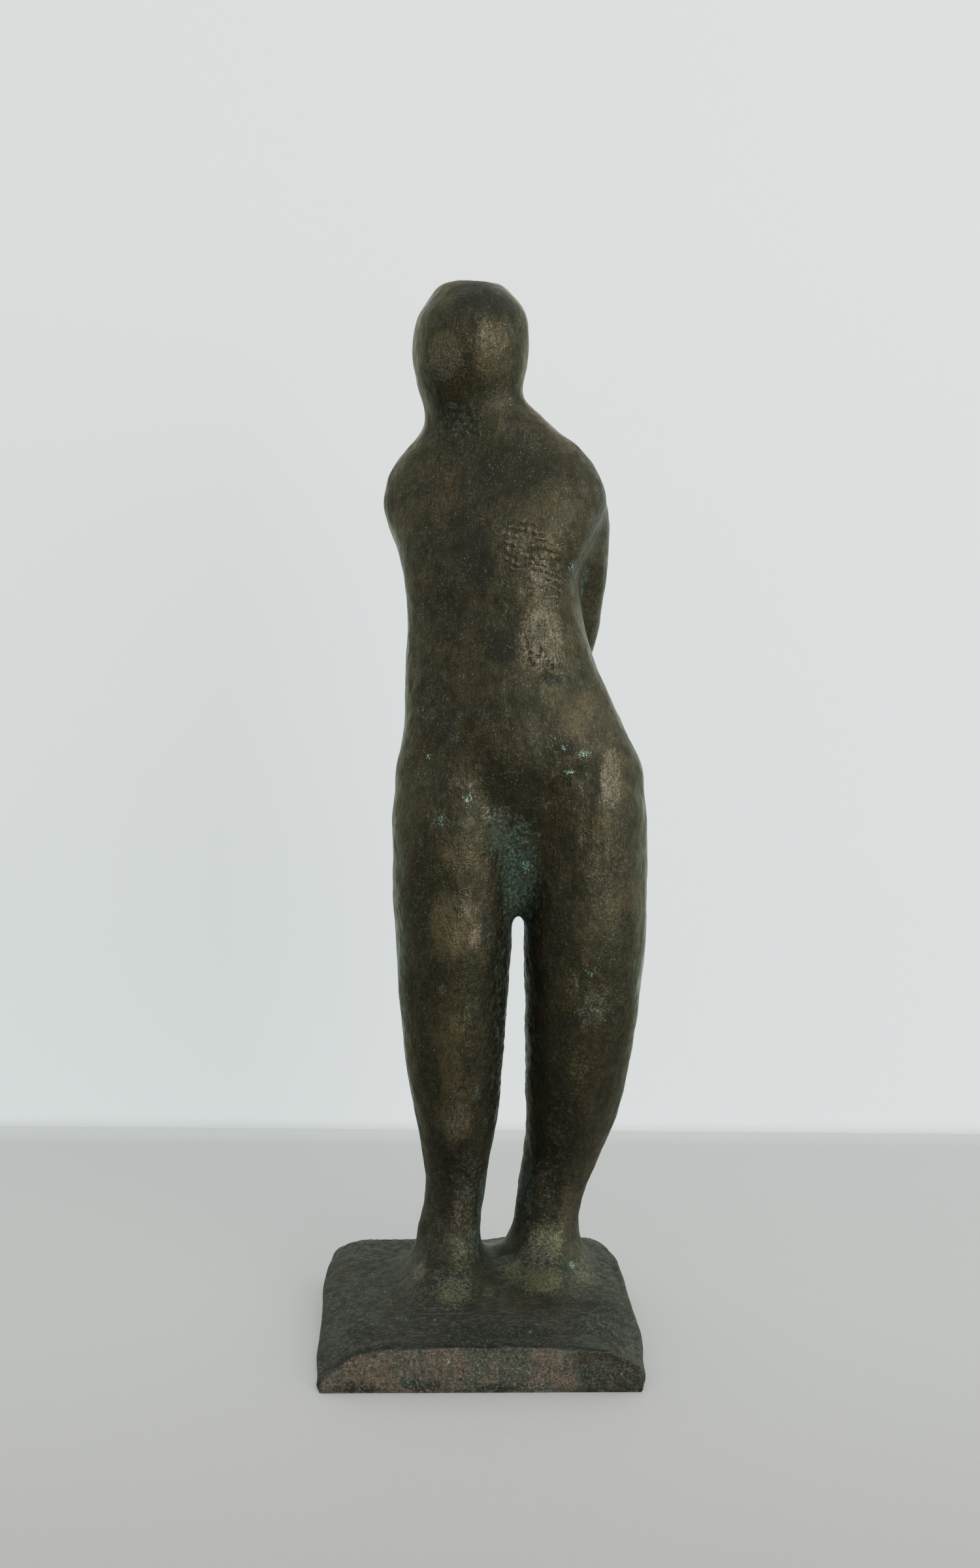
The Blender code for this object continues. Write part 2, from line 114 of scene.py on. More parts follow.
def node_copy(name):
    """One CAD node's mesh with its shared vertices joined up, as a BMesh."""
    made = bmesh.new()
    made.from_mesh(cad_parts[name].data)
    bmesh.ops.remove_doubles(made, verts=made.verts, dist=1e-6)
    return made


def to_mesh(made, name="shape"):
    mesh = bpy.data.meshes.new(name)
    made.to_mesh(mesh)
    made.free()
    return mesh


def scratch(mesh):
    made = bpy.data.objects.new("scratch", mesh)
    bpy.context.scene.collection.objects.link(made)
    return made


def applied(holder):
    """The object's mesh with its modifiers, and the object gone."""
    bpy.context.view_layer.update()
    graph = bpy.context.evaluated_depsgraph_get()
    mesh = bpy.data.meshes.new_from_object(holder.evaluated_get(graph))
    bpy.data.objects.remove(holder)
    return mesh


def remeshed(mesh, voxel):
    holder = scratch(mesh)
    remesh = holder.modifiers.new("voxels", "REMESH")
    remesh.mode = "VOXEL"
    remesh.voxel_size = voxel * MM
    return applied(holder)


def cut(mesh, cutter):
    holder, tool = scratch(mesh), scratch(cutter)
    boolean = holder.modifiers.new("cut", "BOOLEAN")
    boolean.operation = "DIFFERENCE"
    boolean.solver = "EXACT"
    boolean.object = tool
    made = applied(holder)
    bpy.data.objects.remove(tool)
    return made


def joined(meshes):
    made = bmesh.new()
    for mesh in meshes:
        made.from_mesh(mesh)
    return to_mesh(made)


def tube(foot, axis, radius, bottom, top, sides=32):
    """A closed round bar. Bottom and top are distances along the axis from foot."""
    axis = np.asarray(axis, float) / np.linalg.norm(axis)
    across = np.cross(axis, (0.31, 0.2, 0.93) if abs(axis[1]) > 0.5 else (0.2, 0.97, 0.13))
    across /= np.linalg.norm(across)
    third = np.cross(axis, across)
    turn = np.linspace(0, math.tau, sides, endpoint=False)
    ring = radius * (np.cos(turn)[:, None] * across + np.sin(turn)[:, None] * third)
    points = np.concatenate([foot + axis * bottom + ring, foot + axis * top + ring])
    faces = [tuple(range(sides))[::-1], tuple(range(sides, 2 * sides))]
    for i in range(sides):
        j = (i + 1) % sides
        faces.append((i, j, sides + j, sides + i))
    return mesh_from(points, faces)


def largest_island(mesh):
    """Only the connected surface that holds the highest vertex."""
    made = bmesh.new()
    made.from_mesh(mesh)
    start = max(made.verts, key=lambda vert: vert.co.z)
    seen, queue = {start}, [start]
    while queue:
        for edge in queue.pop().link_edges:
            for vert in edge.verts:
                if vert not in seen:
                    seen.add(vert)
                    queue.append(vert)
    bmesh.ops.delete(made, geom=[v for v in made.verts if v not in seen], context="VERTS")
    return to_mesh(made)


def neighbour_mean(values, edges):
    """Each vertex's mean over the vertices that share an edge with it."""
    count = len(values)
    total = np.zeros_like(values)
    ends = np.concatenate([edges, edges[:, ::-1]])
    number = np.maximum(np.bincount(ends[:, 0], minlength=count), 1)
    for k in range(values.shape[1]):
        total[:, k] = np.bincount(ends[:, 0], weights=values[ends[:, 1], k], minlength=count)
    return total / number[:, None]


def smoothed(points, edges, passes, weight=1.0):
    """Taubin smoothing: facets and voxel steps go, and the volume stays."""
    for _ in range(passes):
        points = points + 0.60 * weight * (neighbour_mean(points, edges) - points)
        points = points - 0.62 * weight * (neighbour_mean(points, edges) - points)
    return points


def averaged(points, edges, passes, weight):
    """Plain smoothing, which also fills hollows. Weight is one number for each vertex."""
    for _ in range(passes):
        points = points + weight[:, None] * (neighbour_mean(points, edges) - points)
    return points


def sliced(mesh, point, normal):
    """What lies on the far side of a plane from its normal, closed with a flat face."""
    made = bmesh.new()
    made.from_mesh(mesh)
    geometry = made.verts[:] + made.edges[:] + made.faces[:]
    bmesh.ops.bisect_plane(
        made, geom=geometry, plane_co=Vector(point) * MM, plane_no=normal, clear_outer=True
    )
    border = [edge for edge in made.edges if edge.is_boundary]
    filled = bmesh.ops.holes_fill(made, edges=border, sides=0)
    for face in filled["faces"]:
        face.smooth = False
        for edge in face.edges:
            edge.smooth = False
    bmesh.ops.triangulate(made, faces=filled["faces"])
    return to_mesh(made)


# ---------------------------------------------------------------- fields over the surface


LATTICE_TURN = np.array(((0.80, 0.36, -0.48), (-0.60, 0.48, -0.64), (0.0, 0.80, 0.60)))


def noise(points, size, seed):
    """Smooth random field from -1 to 1. Size is one number or one for each axis."""
    grid = (points / np.asarray(size, float)) @ LATTICE_TURN + seed * 17.31
    cell = np.floor(grid).astype(np.int64)
    part = grid - cell
    part = part * part * part * (part * (part * 6 - 15) + 10)
    total = np.zeros(len(points))
    for corner in itertools.product((0, 1), repeat=3):
        at = (cell + corner).astype(np.uint64)
        mixed = at[:, 0] * np.uint64(73856093) ^ at[:, 1] * np.uint64(19349663)
        mixed ^= at[:, 2] * np.uint64(83492791) ^ np.uint64(seed * 2654435761)
        mixed ^= mixed >> np.uint64(13)
        mixed = mixed * np.uint64(0x9E3779B97F4A7C15)
        value = (mixed >> np.uint64(40)).astype(float) / float(1 << 23) - 1.0
        share = np.prod(np.where(corner, part, 1 - part), axis=1)
        total += value * share
    return total * 1.5


def step(value, low, high):
    """0 below low and 1 above high, with a smooth rise. High may be the lower one."""
    t = np.clip((value - low) / (high - low), 0, 1)
    return t * t * (3 - 2 * t)


def blob(points, centre, reach):
    """1 at the centre, falling smoothly to 0 at the edge of an ellipsoid."""
    away = (points - np.asarray(centre, float)) / np.asarray(reach, float)
    return 1 - step(np.sqrt((away**2).sum(axis=1)), 0.25, 1.0)


def groove(points, a, b, width):
    """1 along the line from a to b, falling to 0 at width from it."""
    a, b = np.asarray(a, float), np.asarray(b, float)
    along = np.clip((points - a) @ (b - a) / ((b - a) @ (b - a)), 0, 1)
    away = np.linalg.norm(points - a - along[:, None] * (b - a), axis=1)
    return 1 - step(away, 0.0, width)


def back_crease(points, a, b, width):
    """Like groove, for a line on the figure's back given by its x and z alone."""
    flat = points * (1.0, 0.0, 1.0)
    line = groove(flat, (a[0], 0.0, a[1]), (b[0], 0.0, b[1]), width)
    return line * step(points[:, 1], 12.0, 18.0)


# ---------------------------------------------------------------- the bronze skin


def plug_axis(name):
    """Centre, outward direction, radius and length of a round plug. Its inner end is flat."""
    made = node_copy(name)
    points = np.array([vert.co for vert in made.verts]) / MM
    centre = (points.max(axis=0) + points.min(axis=0)) / 2
    if name in PIN_NODES:
        outward = Vector((0, 1 if centre[1] > BODY_MIDDLE else -1, 0))
    else:
        outward = Vector((0, 0, 1))
    inward = Vector((0, 0, 0))
    for face in made.faces:
        if face.normal.dot(outward) < -0.85:
            inward += face.normal * face.calc_area()
    made.free()
    axis = -np.array(inward.normalized())
    depth = points @ axis
    middle = points.mean(axis=0)
    away = points - middle
    away -= np.outer(away @ axis, axis)
    radius = np.percentile(np.linalg.norm(away, axis=1), 90)
    inner = points[depth < depth.min() + 0.05].mean(axis=0)
    return inner, axis, radius, depth.max() - depth.min()


def widened(name, factor):
    """A CAD plug made wider about its own axis, so that it closes the gap round it."""
    made = node_copy(name)
    inner, axis, _, _ = plug_axis(name)
    for vert in made.verts:
        place = np.array(vert.co) / MM - inner
        along = (place @ axis) * axis
        vert.co = Vector((inner + along + factor * (place - along)) * MM)
    return to_mesh(made)


def extended_base():
    """The base with its sawn front and its underside pushed out, and its top raised over the seam."""
    made = node_copy("base_casting")
    for vert in made.verts:
        x, y, z = np.array(vert.co) / MM
        if y < SAWN_FRONT + 0.02:
            y -= OVERSHOOT
        if z < 0.02:
            z -= OVERSHOOT
        if z > SEAM_HEIGHT - 0.25:
            z += 0.7
        vert.co = Vector((x, y, z)) * MM
    return to_mesh(made)


def melted(points, edges):
    """The feet run softly into the slab, as clay does. Seat and crown are softened too."""
    x, y, z = points.T
    near = 1 - step(np.hypot((x - 5.0) / 30.0, (y - 8.0) / 27.0), 0.75, 1.0)
    weight = 0.7 * near * step(z, 8.5, 10.0) * (1 - step(z, 15.0, 26.0))
    points = averaged(points, edges, MELT_PASSES, weight)
    seat = 0.6 * blob(points, (9.0, 28.0, 122.0), (10.0, 14.0, 12.0))
    points = averaged(points, edges, MELT_PASSES, seat)
    return smoothed(points, edges, CROWN_PASSES, step(z, 248.0, 256.0)[:, None])


def regained(points, normals):
    """Puts back what the smoothing took from the figure and from the slab's thin sides."""
    x, y, z = points.T
    growth = np.full(len(points), REGAINED) * step(z, 12, 20)
    sides = (1 - step(np.abs(normals[:, 2]), 0.5, 0.85)) * (1 - step(z, 9.5, 12.0))
    growth += sides * (0.25 + 0.85 * step(x, 10, 30)) * step(y, SAWN_FRONT + 0.1, SAWN_FRONT + 1.0)
    moved = points + growth[:, None] * normals
    front = y < SAWN_FRONT + 0.1
    moved[front, 0] += (0.55 + 0.45 * np.sign(x[front])) * (np.abs(x[front]) > 34) * np.sign(x[front])
    return moved


def stud_feet():
    """The point under each stud where its axis meets the ground."""
    for name in STUD_NODES:
        low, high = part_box(name)
        middle = (low + high) / 2 / MM
        yield np.array((middle.x, middle.y, 0.0))


def whole_form():
    """Figure and base as one outer surface, without the facets of the CAD solids."""
    figure = node_copy("figure_casting")
    parts = [to_mesh(figure), extended_base()]
    parts += [widened(name, PIN_WIDENING) for name in PIN_NODES]
    parts.append(widened("crown_plug", CROWN_PLUG_WIDENING))
    for foot in stud_feet():
        parts.append(tube(foot, UP, COUNTERBORE_RADIUS + 1, -OVERSHOOT, COUNTERBORE_DEPTH + 1))
        parts.append(tube(foot, UP, STUD_HOLE_RADIUS + 0.6, COUNTERBORE_DEPTH, STUD_HOLE_TOP + 1))
    form = largest_island(remeshed(joined(parts), COARSE_VOXEL))
    edges = edges_of(form)
    points = smoothed(points_of(form), edges, COARSE_PASSES)
    set_points(form, melted(points, edges))
    form = sliced(form, (0, SAWN_FRONT, 0), (0, -1, 0))
    form = sliced(form, (0, 0, 0), (0, 0, -1))
    form = remeshed(form, FINE_VOXEL)
    points, edges = points_of(form), edges_of(form)
    inside = step(points[:, 1], SAWN_FRONT + 0.6, SAWN_FRONT + 2.4) * step(points[:, 2], 0.6, 2.4)
    points = smoothed(points, edges, FINE_PASSES, inside[:, None])
    set_points(form, regained(points, normals_of(form)))
    return form


# Places on the figure, as (centre, reach) of soft ellipsoids.
HIP_WEAR = ((30.5, -7.5, 141.5), (4.2, 7.0, 9.5))
WORN_PATCH = ((12.8, -8.6, 174.5), (8.0, 5.0, 11.0))
PIT_FIELD = ((12.7, -8.8, 171.3), (5.2, 4.0, 5.2))

# Small holes below the chest: across, height, and half their width and height.
PITS = [
    (9.8, 173.9, 0.42, 0.95),
    (10.5, 172.1, 0.55, 0.45),
    (12.3, 171.3, 0.90, 0.40),
    (10.4, 170.6, 0.45, 0.60),
    (11.1, 169.4, 0.75, 0.45),
    (13.0, 172.8, 0.45, 0.60),
    (14.7, 169.8, 0.45, 0.85),
    (15.8, 168.9, 0.50, 0.70),
]
PIT_DEPTH = 0.45

RASP_PITCH = 1.95
RASP_BEAD = 1.9
RASP_HEIGHT = 0.38
RASP_LEAN = 0.42


def field_rasped(points):
    """The tool marks under the figure's left breast, a band that leans outward as it goes down."""
    x, y, z = points.T
    upright = np.stack([x - RASP_LEAN * (195.0 - z), y, z], axis=1)
    return step(blob(upright, (10.6, -7.5, 194.5), (8.6, 9.0, 14.0)), 0.0, 0.55)


def field_pitted(points):
    return blob(points, *PIT_FIELD)


def field_sawn(points):
    return 1 - step(points[:, 1], SAWN_FRONT + 0.3, SAWN_FRONT + 1.2)


def refined(mesh, field, rounds):
    """Smaller faces where the field is above zero, for detail finer than the skin's mesh."""
    for _ in range(rounds):
        made = bmesh.new()
        made.from_mesh(mesh)
        centres = np.array([face.calc_center_median() for face in made.faces]) / MM
        inside = field(centres) > 0.06
        edges = {edge for face, use in zip(made.faces, inside) if use for edge in face.edges}
        edges = sorted(edges, key=lambda edge: edge.index)
        bmesh.ops.subdivide_edges(made, edges=edges, cuts=1, use_grid_fill=True)
        mesh = to_mesh(made)
    return mesh


def rasp_relief(points):
    """Rows of short rounded ridges, from 0 in the valleys to 1 on the crests."""
    x, _, z = points.T
    drift = noise(points, (3.6, 6.0, 3.0), 8)
    row = (z + 0.12 * x + 0.60 * drift) / RASP_PITCH
    crest = 0.5 + 0.5 * np.cos(math.tau * row)
    along = (x + 1.1 * drift + 2.3 * np.sin(2.1 * np.round(row))) / RASP_BEAD
    bead = 0.5 + 0.5 * np.cos(math.tau * along)
    broken = step(noise(points, (2.4, 5.0, 1.6), 9), -0.9, 0.1)
    return crest * broken * (0.30 + 0.70 * bead)


def leg_gap(points):
    """1 on the surfaces that face each other between the legs."""
    x, _, z = points.T
    middle = 9.0 - 0.03 * (z - 60)
    return (1 - step(np.abs(x - middle), 3.0, 8.5)) * (1 - step(z, 95, 112)) * step(z, 14, 24)


def rounded_corners(points):
    """Turns the slab's square front corners into rounded ones."""
    points = points.copy()
    for sign, edge, radius in ((-1, 38.9, 2.4), (1, 42.1, 4.2)):
        centre_x, centre_y = sign * (edge - radius), SAWN_FRONT + radius
        away_x, away_y = points[:, 0] - centre_x, points[:, 1] - centre_y
        inside = (sign * away_x > 0) & (away_y < 0) & (points[:, 2] < SEAM_HEIGHT)
        longest = np.maximum(np.abs(away_x), np.abs(away_y))
        scale = np.where(inside, longest / np.maximum(np.hypot(away_x, away_y), 1e-6), 1.0)
        points[:, 0] = centre_x + scale * away_x
        points[:, 1] = centre_y + scale * away_y
    return points


def front_relief(points, normals, deck):
    """The lip that the saw left along the front edge, and the trough behind it."""
    x, y, _ = points.T
    behind = y - SAWN_FRONT
    ragged = 1 + 0.4 * noise(points, (4.5, 9, 9), 13)
    upward = step(normals[:, 2], 0.25, 0.7) * deck
    left_lip = step(x, -37, -30) * (1 - step(x, -22, -14))
    middle_lip = step(x, -16, -6) * (1 - step(x, 12, 20))
    right_lip = step(x, 24, 31) * (1 - step(x, 36.5, 38.5))
    lip = upward * ragged * (1 - step(behind, 0.3, 1.6))
    lift = lip * (0.45 * left_lip + 0.75 * middle_lip + 0.9 * right_lip)
    trough = upward * step(behind, 0.9, 2.0) * (1 - step(behind, 2.8, 6.5))
    lift -= trough * (1.0 * left_lip + 1.3 * middle_lip)
    return lift - 1.1 * groove(points, (20.5, -33.6, 9.9), (34.5, -34.1, 8.2), 1.7) * upward


# Soft lines on the back: start and end as (x, z), width and depth.
BACK_CREASES = [
    ((3.0, 222.0), (3.5, 168.0), 7.0, 0.60),
    ((2.5, 142.0), (6.0, 116.0), 5.5, 1.10),
    ((-4.5, 154.0), (4.5, 150.5), 1.6, 0.35),
    ((-3.5, 151.0), (5.0, 147.5), 1.6, 0.35),
    ((-2.0, 148.0), (5.0, 145.0), 1.6, 0.35),
]


# Soft swellings of the figure: height (a hollow is below zero), centre and reach.
SWELLINGS = [
    (-0.45, (-13.0, 3.0, 259.0), (9.0, 18.0, 8.0)),
    (0.22, (-1.6, -7.0, 247.6), (2.8, 4.0, 2.8)),
    (0.70, (11.0, 2.0, 228.5), (9.0, 12.0, 10.0)),
    (0.70, (24.0, 3.0, 214.0), (10.0, 14.0, 14.0)),
    (0.50, (-9.0, 22.0, 205.0), (9.0, 12.0, 13.0)),
    (0.50, (15.0, 24.0, 204.0), (9.0, 12.0, 13.0)),
]

# Lines pressed into the front: depth, start, end and width.
GROOVES = [
    (0.7, (-9.8, 5.0, 27.0), (-11.8, -5.0, 12.5), 3.2),
    (0.6, (4.5, 0.0, 13.5), (2.5, -10.0, 10.5), 4.0),
    (0.2, (-3.2, -6.0, 205.4), (0.4, -6.0, 201.6), 1.5),
]


def figure_share(points):
    """0 on the slab and the feet, and 1 on the figure above the ankles."""
    return step(points[:, 2], 14.0, 24.0)


def figure_relief(points):
    """Lumps from the fingers, soft swellings and pressed lines."""
    lumps = (
        0.26 * noise(points, (9, 9, 15), 1)
        + 0.13 * noise(points, (4.2, 4.2, 7.5), 2)
        + 0.055 * noise(points, (1.6, 1.6, 2.8), 3)
    )
    lift = (1 - 0.6 * blob(points, *HIP_WEAR)) * figure_share(points) * lumps
    lift += 0.09 * leg_gap(points) * noise(points, (1.6, 1.6, 1.2), 14)
    for height, centre, reach in SWELLINGS:
        lift += height * blob(points, centre, reach)
    for depth, a, b, width in GROOVES:
        lift -= depth * groove(points, a, b, width)
    for a, b, width, depth in BACK_CREASES:
        lift -= depth * back_crease(points, a, b, width)
    return lift


def tool_marks(points):
    """The rasped band, the worn patch below it and the small holes in that."""
    lift = RASP_HEIGHT * field_rasped(points) * rasp_relief(points)
    for pit_x, pit_z, wide, tall in PITS:
        lift -= PIT_DEPTH * blob(points, (pit_x, -8.8, pit_z), (1.3 * wide, 3.0, 1.3 * tall))
    return lift + 0.07 * blob(points, *WORN_PATCH) * noise(points, (1.5, 3.0, 1.8), 15)


def slab_relief(points, normals, sawn):
    """The slab's uneven upper side, brushed in arcs round the feet, and its front edge."""
    x, y, z = points.T
    slab = 1 - figure_share(points)
    deck = slab * (1 - sawn) * step(z, 0.3, 1.5)
    lift = deck * (
        0.26 * noise(points, (9, 9, 6), 4)
        + 0.05 * noise(points, (3.8, 3.8, 3.4), 5)
        + 0.045 * noise(points, 1.5, 6)
    )
    from_feet = np.hypot(x - 4.0, y - 14.0)
    brushed = deck * step(from_feet, 22, 27) * step(normals[:, 2], 0.7, 0.95) * (1 - step(x, -8, 4))
    lift += 0.07 * brushed * np.sin(math.tau * from_feet / 1.9 + 1.5 * noise(points, 7, 7))
    return lift + front_relief(points, normals, slab)


def sculpt(form):
    """Hand modelling, tool marks and the rough sawn front, as real relief."""
    form = refined(form, field_rasped, 2)
    form = refined(form, field_pitted, 2)
    form = refined(form, field_sawn, 1)
    points, normals = points_of(form), normals_of(form)
    z = points[:, 2]
    sawn = field_sawn(points) * step(z, 0.05, 0.5)
    lift = figure_relief(points) + tool_marks(points) + slab_relief(points, normals, sawn)
    points = points + lift[:, None] * normals

    under = (1 - step(z, 0.0, 1.2)) * (0.45 + 0.35 * noise(points, 7, 17))
    sideways = normals * (1.0, 1.0, 0.0) * (1 - np.abs(normals[:, 2:]))
    points -= under[:, None] * sideways
    grain = 0.12 * np.abs(noise(points, 1.5, 10)) + 0.20 * np.abs(noise(points, 0.8, 11))
    points[:, 1] += sawn * grain
    set_points(form, rounded_corners(points))
    return form


def plug_end(name, surface):
    """A chased plug: its end follows the skin around it, with a hammered edge just below it."""
    inner, axis, radius, length = plug_axis(name)
    across = np.cross(axis, (0.3, 0.1, 0.9) if name in PIN_NODES else (0.9, 0.1, 0.2))
    across /= np.linalg.norm(across)
    third = np.cross(axis, across)
    sides, rings = 48, 9
    turn = np.linspace(0, math.tau, sides, endpoint=False)
    around = np.cos(turn)[:, None] * across + np.sin(turn)[:, None] * third
    rows = [inner + radius * around]
    for ring in range(rings, 0, -1):
        start = inner + radius * ring / rings * around + (length + 5) * axis
        hits = [surface.ray_cast(Vector(place) * MM, Vector(-axis))[0] for place in start]
        row = np.array(hits) / MM
        row -= 0.03 * step(ring / rings, 0.80, 1.0) * axis
        row += (0.05 * noise(row, 0.9, 12))[:, None] * axis
        rows.append(row)
    hub = rows[-1].mean(axis=0)
    points = np.concatenate(rows + [hub[None], inner[None]])
    faces = []
    for level in range(len(rows) - 1):
        for i in range(sides):
            j = (i + 1) % sides
            a, b = level * sides, (level + 1) * sides
            faces.append((a + i, a + j, b + j, b + i))
    last = (len(rows) - 1) * sides
    top, foot = len(rows) * sides, len(rows) * sides + 1
    for i in range(sides):
        j = (i + 1) % sides
        faces.append((last + i, last + j, top))
        faces.append((j, i, foot))
    return mesh_from(points, faces, name)


def shade_smooth(mesh):
    """Smooth shading, with the needle-thin faces that a boolean leaves closed up."""
    made = bmesh.new()
    made.from_mesh(mesh)
    bmesh.ops.triangulate(made, faces=made.faces)
    bmesh.ops.dissolve_degenerate(made, edges=made.edges, dist=NEEDLE * MM)
    bmesh.ops.recalc_face_normals(made, faces=made.faces)
    for face in made.faces:
        face.smooth = True
    made.to_mesh(mesh)
    made.free()
    mesh.set_sharp_from_angle(angle=math.radians(50))
    return mesh


# ---------------------------------------------------------------- what the patina does where


